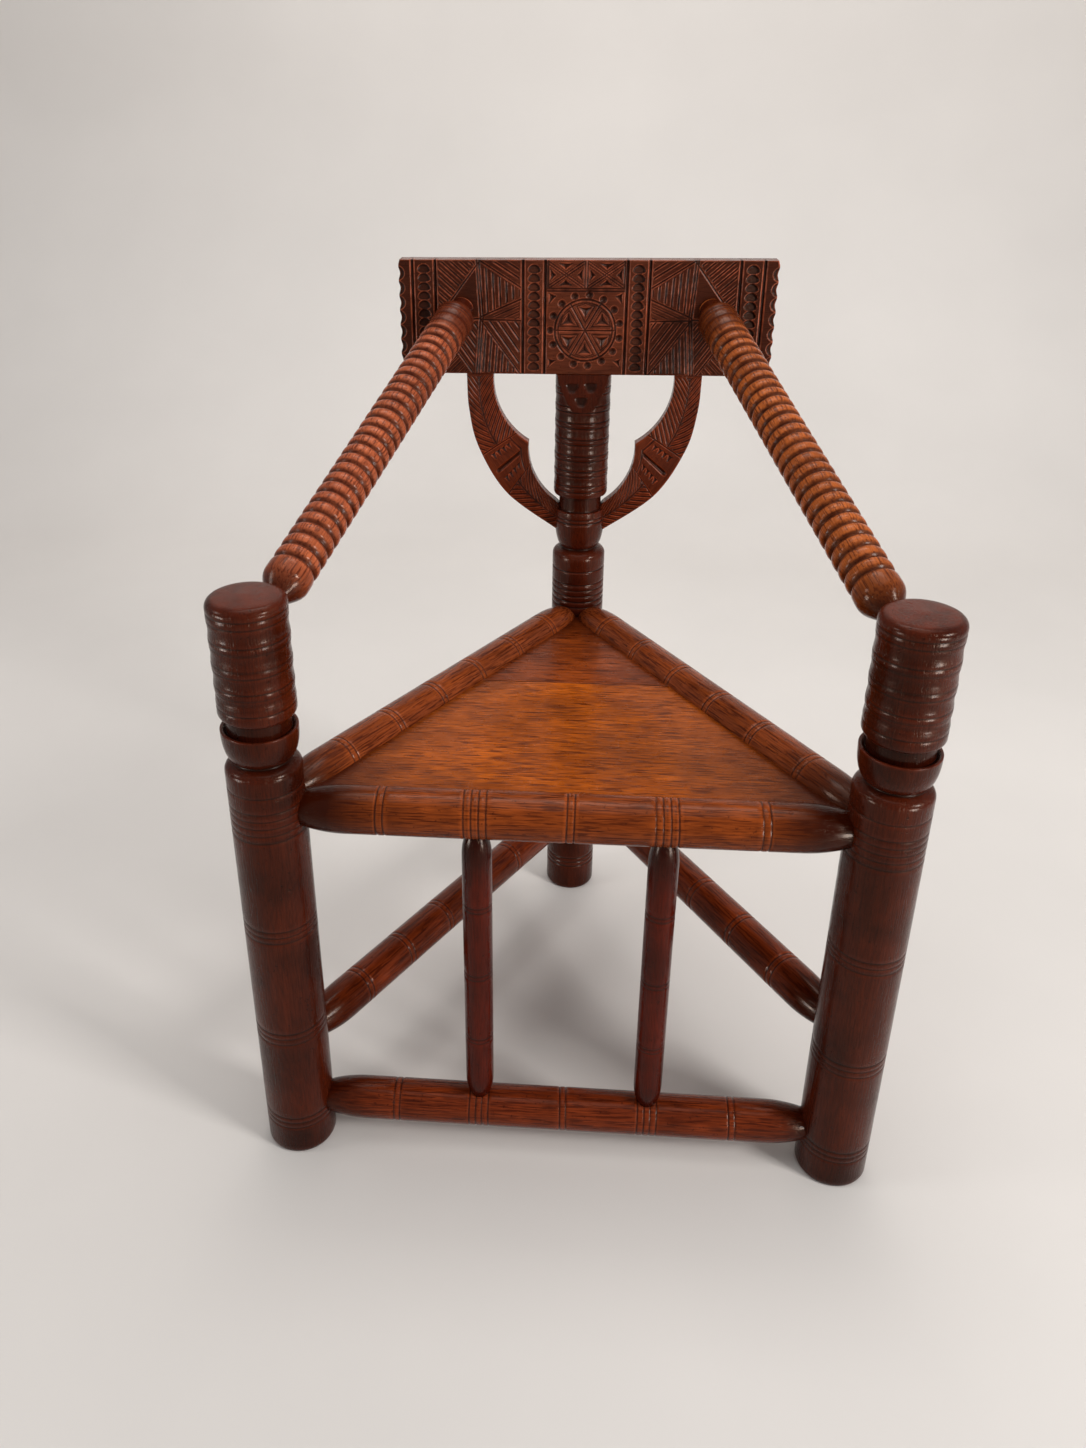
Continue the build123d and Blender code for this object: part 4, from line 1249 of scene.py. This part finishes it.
def brace_depth(share, run, deep):
    """Carving of a brace over the share across it (0 at the inner edge) and the run down it: two
    herringbone fields about a spine, and a panel with notches and a slot between two lines."""
    across = share * BRACE_W
    lean = np.abs(across - 21.0)
    cuts = []
    for low, high in ((3.0, 92.0), (146.0, 228.0)):
        field = np.clip(np.minimum(run - low, high - run), 0, 1) * np.clip((lean - 1) / 1.2, 0, 1)
        gap = np.abs(((run + 1.25 * lean) / 7.6 + 0.5) % 1 - 0.5) * 7.6 / 1.6
        cuts.append(vee(gap, 2.2, 0.55 * deep) * field)
        cuts.append(vee(lean, 1.8, 0.5 * deep) * (run > low) * (run < high))
    cuts += [vee(np.abs(run - place), 1.8, 0.45 * deep) for place in (93.5, 146.0)]
    for row in (103.0, 134.0):
        for i in range(4):
            at = 13.0 + 5.2 * i
            notch = [(at - 2.4, row - 4.5), (at + 2.4, row - 4.5), (at, row + 5.0)]
            cuts.append(pit(across, run, notch, 0.9 * deep))
    cuts.append(vee(segment_gap(across, run, (11, 119), (31, 119)), 6.4, 1.1 * deep))
    cuts.append(vee(segment_gap(across, run, (7.5, 93), (8.5, 146)), 1.6, 0.4 * deep))
    return deepest(cuts)


class CHAIR_OT_braces(bpy.types.Operator):
    """Carve the two curved braces: straight lines across from the inner to the outer edge, each row
    lowered by the carving's depth"""

    bl_idname = "chair.braces"
    bl_label = "Braces"

    def execute(self, context):
        rows, cols = BRACE_GRID
        deep = sizes_of(context).carving_depth / MM
        inner, outer = brace_edges(rows)
        middle = (inner + outer) / 2
        run = np.concatenate([[0], np.cumsum(np.hypot(*np.diff(middle, axis=0).T))])
        share, run = np.meshgrid(np.linspace(0, 1, cols), run)
        plan = inner[:, None, :] * (1 - share[..., None]) + outer[:, None, :] * share[..., None]
        depth = brace_depth(share, run, deep)
        # Hollows of the carving darken as grime and painted shade, ridges and rims lighten as wear and
        # painted highlights.
        recess, edge = masks_of(depth, BRACE_SPACING)
        rim = np.minimum(share, 1 - share) * BRACE_W
        depth = depth + 0.8 * np.clip(1 - rim / 1.3, 0, 1) ** 2
        edge = np.maximum(edge, 0.6 * np.clip(1 - rim / 1.8, 0, 1))
        shade = 0.15 + 0.6 * np.clip((run - 180) / 60, 0, 1)
        grain = np.stack([share * BRACE_W, depth, run], axis=-1)
        face_y = BACK_Y - BRACE_HALF
        thickness = (0, 2 * BRACE_HALF - BRACE_BORDER, 0)
        material = wood("brace_wood", finish_of(context).brace, 0.2, 0.3, 0.35, wear_and_highlight=2.6)
        for side, word in SIDES:
            front = np.stack([side * plan[..., 0], face_y + depth, CREST_Z - plan[..., 1]], axis=-1)
            set_border(front, 1, face_y + BRACE_BORDER)
            grids = [front, grain + seed_shift(8 + side), recess, edge, shade]
            # Rows run upwards and columns to the right, so that the face points to the front
            front, *rest = [g[::-1] if side > 0 else g[::-1, ::-1] for g in grids]
            piece = put_board(f"brace_{word}_carved", front, thickness, *rest, material)
            dress(piece, "wood_carved", f"brace_{word}")
        return {"FINISHED"}


class CHAIR_OT_seat(bpy.types.Operator):
    """Plane the two seat boards: each is a grid over its share of the triangle, a hair hollow, with an
    eased edge at the joint"""

    bl_idname = "chair.seat"
    bl_label = "Seat boards"

    def execute(self, context):
        slant = SEAT_INSET * SIDE_LENGTH / SETBACK
        low_y = FRONT_Y + SEAT_INSET
        tip_y = BACK_Y - BACK_R - SEAT_GAP
        reach = FRONT_R + SEAT_GAP
        rows, cols = SEAT_GRID
        thickness = (0, 0, SEAT_LOW[2] - SEAT_HIGH[2] + SEAT_BORDER)
        finish = finish_of(context)
        for word, start, end, colour, seed in (
            ("front", low_y, SEAT_JOINT_Y, finish.seat_front, 9.4),
            ("back", SEAT_JOINT_Y, tip_y, finish.seat_back, 9.9),
        ):
            material = wood(f"seat_wood_{word}", colour, 0.1, 1.0, 0.7, 1.3, 0.28)
            y = np.linspace(start, end, rows)[:, None]
            half = FRONT_X * (1 - (y - FRONT_Y) / SETBACK) - slant
            notch = FRONT_X - np.sqrt(np.maximum(reach**2 - (y - FRONT_Y) ** 2, 0))
            half = np.minimum(half, notch)
            x = half * np.linspace(-1, 1, cols)[None, :]
            y = y + 0 * x
            joint = np.abs(y - SEAT_JOINT_Y)
            rim = np.minimum(half - np.abs(x), y - low_y)
            drop = 0.7 * np.clip(1 - joint / 1.6, 0, 1) ** 2
            drop += 0.35 * (1 + np.sin(x / 47 + y / 29) * np.cos(y / 21) * np.clip(rim / 60, 0, 1))
            z = SEAT_HIGH[2] - drop
            # Painted shade: the seat darkens along its edges beside the rails, at the corners by the posts
            # and towards the back.
            corner = np.clip((np.abs(x) - 150) / 90, 0, 1)
            back = np.clip((y - 60) / 130, 0, 1)
            shade = np.clip(0.75 * np.exp(-rim / 16) + 0.7 * corner + 0.4 * back, 0, 1)
            recess = np.clip(1 - joint / 1.0, 0, 1) * 0.8
            edge = np.zeros_like(recess)
            grain = np.stack([y, z, x], axis=-1) + seed_shift(seed)
            top = np.stack([x, y, z], axis=-1)
            set_border(top, 2, SEAT_HIGH[2] - SEAT_BORDER)
            name = f"seat_board_{word}"
            piece = put_board(f"{name}_planed", top, thickness, grain, recess, edge, shade, material)
            dress(piece, "wood_seat", name)
        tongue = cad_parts["seat_tongue"].data
        tongue.materials.clear()
        tongue.materials.append(material)
        return {"FINISHED"}


class CHAIR_OT_pegs(bpy.types.Operator):
    """Turn the four pegs that show behind the crest, with domed ends a hair proud"""

    bl_idname = "chair.pegs"
    bl_label = "Pegs"

    def execute(self, context):
        material = wood("peg_wood", finish_of(context).side_rail, 0.3, 0.8, 0.5, gloss=0.4)
        for node_name in ("crest_pegs", "brace_pegs"):
            low, high = box_mm(node_name)
            radius = (high[2] - low[2]) / 2
            length = high[1] - low[1]
            outline = profile(
                (0, 0),
                (radius, 0),
                (radius, length),
                eased(radius, length, 0.3 * radius, length + PEG_DOME),
                (0, length + PEG_DOME),
            )
            for side, word in SIDES:
                seed = 11 + side * 0.2 + radius
                made = turning(outline, [], PEG_SEGMENTS, sizes_of(context), seed, rounding=0.3)
                foot = (side * (high[0] - radius), low[1], low[2] + radius)
                name = f"{node_name[:-1]}_{word}_domed"
                put_turned(name, made, foot, (0, 1, 0), material, "wood_peg", node_name)
        return {"FINISHED"}


class CHAIR_OT_stage(bpy.types.Operator):
    """Set the pale sweep, the soft lamps, the world and the camera"""

    bl_idname = "chair.stage"
    bl_label = "Stage"

    def execute(self, context):
        scene = context.scene
        self.sweep(context)
        for settings in LAMPS:
            self.lamp(*settings)
        world = bpy.data.worlds.new("soft_room")
        world.use_nodes = True
        background = world.node_tree.nodes["Background"]
        background.inputs["Color"].default_value = WORLD_COLOUR
        background.inputs["Strength"].default_value = WORLD_STRENGTH
        scene.world = world
        scene.view_settings.view_transform = "Standard"
        self.camera(scene)
        return {"FINISHED"}

    def sweep(self, context):
        """Floor that bends up into a backdrop: a flat run, a quarter circle and an upright run, carried
        sideways."""
        bend_at, bend_r, height, front, wide = 1.5, 1.2, 3.4, -4.0, 4.5
        a = np.linspace(0, math.pi / 2, 32)
        y = np.concatenate([[front, 0.0], bend_at + bend_r * np.sin(a), [bend_at + bend_r]])
        z = np.concatenate([[0.0, 0.0], bend_r * (1 - np.cos(a)), [height]])
        x = np.linspace(-wide, wide, 24)[None, :]
        points = np.stack(np.broadcast_arrays(x, y[:, None], z[:, None]), axis=-1).reshape(-1, 3)
        quads = grid_quads(len(y), x.size, False)
        material = backdrop_material(finish_of(context).floor)
        floor = put_mesh("pale_sweep", points / MM, [quads], (True,), {}, material)

    def lamp(self, name, place, aim, size, power, glint):
        """A square soft lamp that looks at a point, unseen itself; a glint lamp lights only the polish."""
        data = bpy.data.lights.new(name, "AREA")
        data.size = size
        data.energy = power
        lamp = bpy.data.objects.new(name, data)
        lamp.location = place
        lamp.visible_diffuse = not glint
        lamp.visible_camera = False
        lamp.rotation_euler = (Vector(aim) - Vector(place)).to_track_quat("-Z", "Y").to_euler()
        bpy.context.scene.collection.objects.link(lamp)

    def camera(self, scene):
        """Camera from its yaw, downward pitch and roll: forward is the yaw direction tipped down, right is
        level and square to it, and both turn by the roll."""
        sy, cy = math.sin(CAMERA_YAW), math.cos(CAMERA_YAW)
        sp, cp = math.sin(CAMERA_PITCH), math.cos(CAMERA_PITCH)
        forward = Vector((sy * cp, cy * cp, -sp))
        level = Vector((cy, -sy, 0))
        upward = level.cross(forward)
        sr, cr = math.sin(CAMERA_ROLL), math.cos(CAMERA_ROLL)
        right = cr * level + sr * upward
        up = cr * upward - sr * level
        data = bpy.data.cameras.new("camera")
        data.lens = CAMERA_LENS
        data.sensor_width = CAMERA_SENSOR
        data.shift_x, data.shift_y = CAMERA_SHIFT
        camera = bpy.data.objects.new("camera", data)
        turn = Matrix((right, up, -forward)).transposed()
        camera.matrix_world = Matrix.Translation(CAMERA_AT) @ turn.to_4x4()
        scene.collection.objects.link(camera)
        scene.camera = camera


OPERATORS = (
    CHAIR_OT_stage,
    CHAIR_OT_front_posts,
    CHAIR_OT_back_post,
    CHAIR_OT_seat_rails,
    CHAIR_OT_stretchers,
    CHAIR_OT_spindles,
    CHAIR_OT_arms,
    CHAIR_OT_crest,
    CHAIR_OT_braces,
    CHAIR_OT_seat,
    CHAIR_OT_pegs,
)


class CHAIR_PT_panel(bpy.types.Panel):
    """Sidebar list of the chair's pieces, sizes and colours"""

    bl_idname = "CHAIR_PT_panel"
    bl_label = "Corner chair"
    bl_space_type = "VIEW_3D"
    bl_region_type = "UI"
    bl_category = "Chair"

    def draw(self, context):
        for holder in (sizes_of(context), finish_of(context)):
            for key in holder.__annotations__:
                self.layout.prop(holder, key)
        for operator in OPERATORS:
            self.layout.operator(operator.bl_idname)


CLASSES = (ChairSizes, ChairFinish) + OPERATORS + (CHAIR_PT_panel,)


def register():
    for cls in CLASSES:
        bpy.utils.register_class(cls)
    bpy.types.Scene.chair_sizes = PointerProperty(type=ChairSizes)
    bpy.types.Scene.chair_finish = PointerProperty(type=ChairFinish)


def unregister():
    del bpy.types.Scene.chair_finish
    del bpy.types.Scene.chair_sizes
    for cls in reversed(CLASSES):
        bpy.utils.unregister_class(cls)


def main():
    """Builds the stage and every piece."""
    register()
    for operator in OPERATORS:
        group_name, call = operator.bl_idname.split(".")
        getattr(getattr(bpy.ops, group_name), call)()


if __name__ == "__main__":
    main()
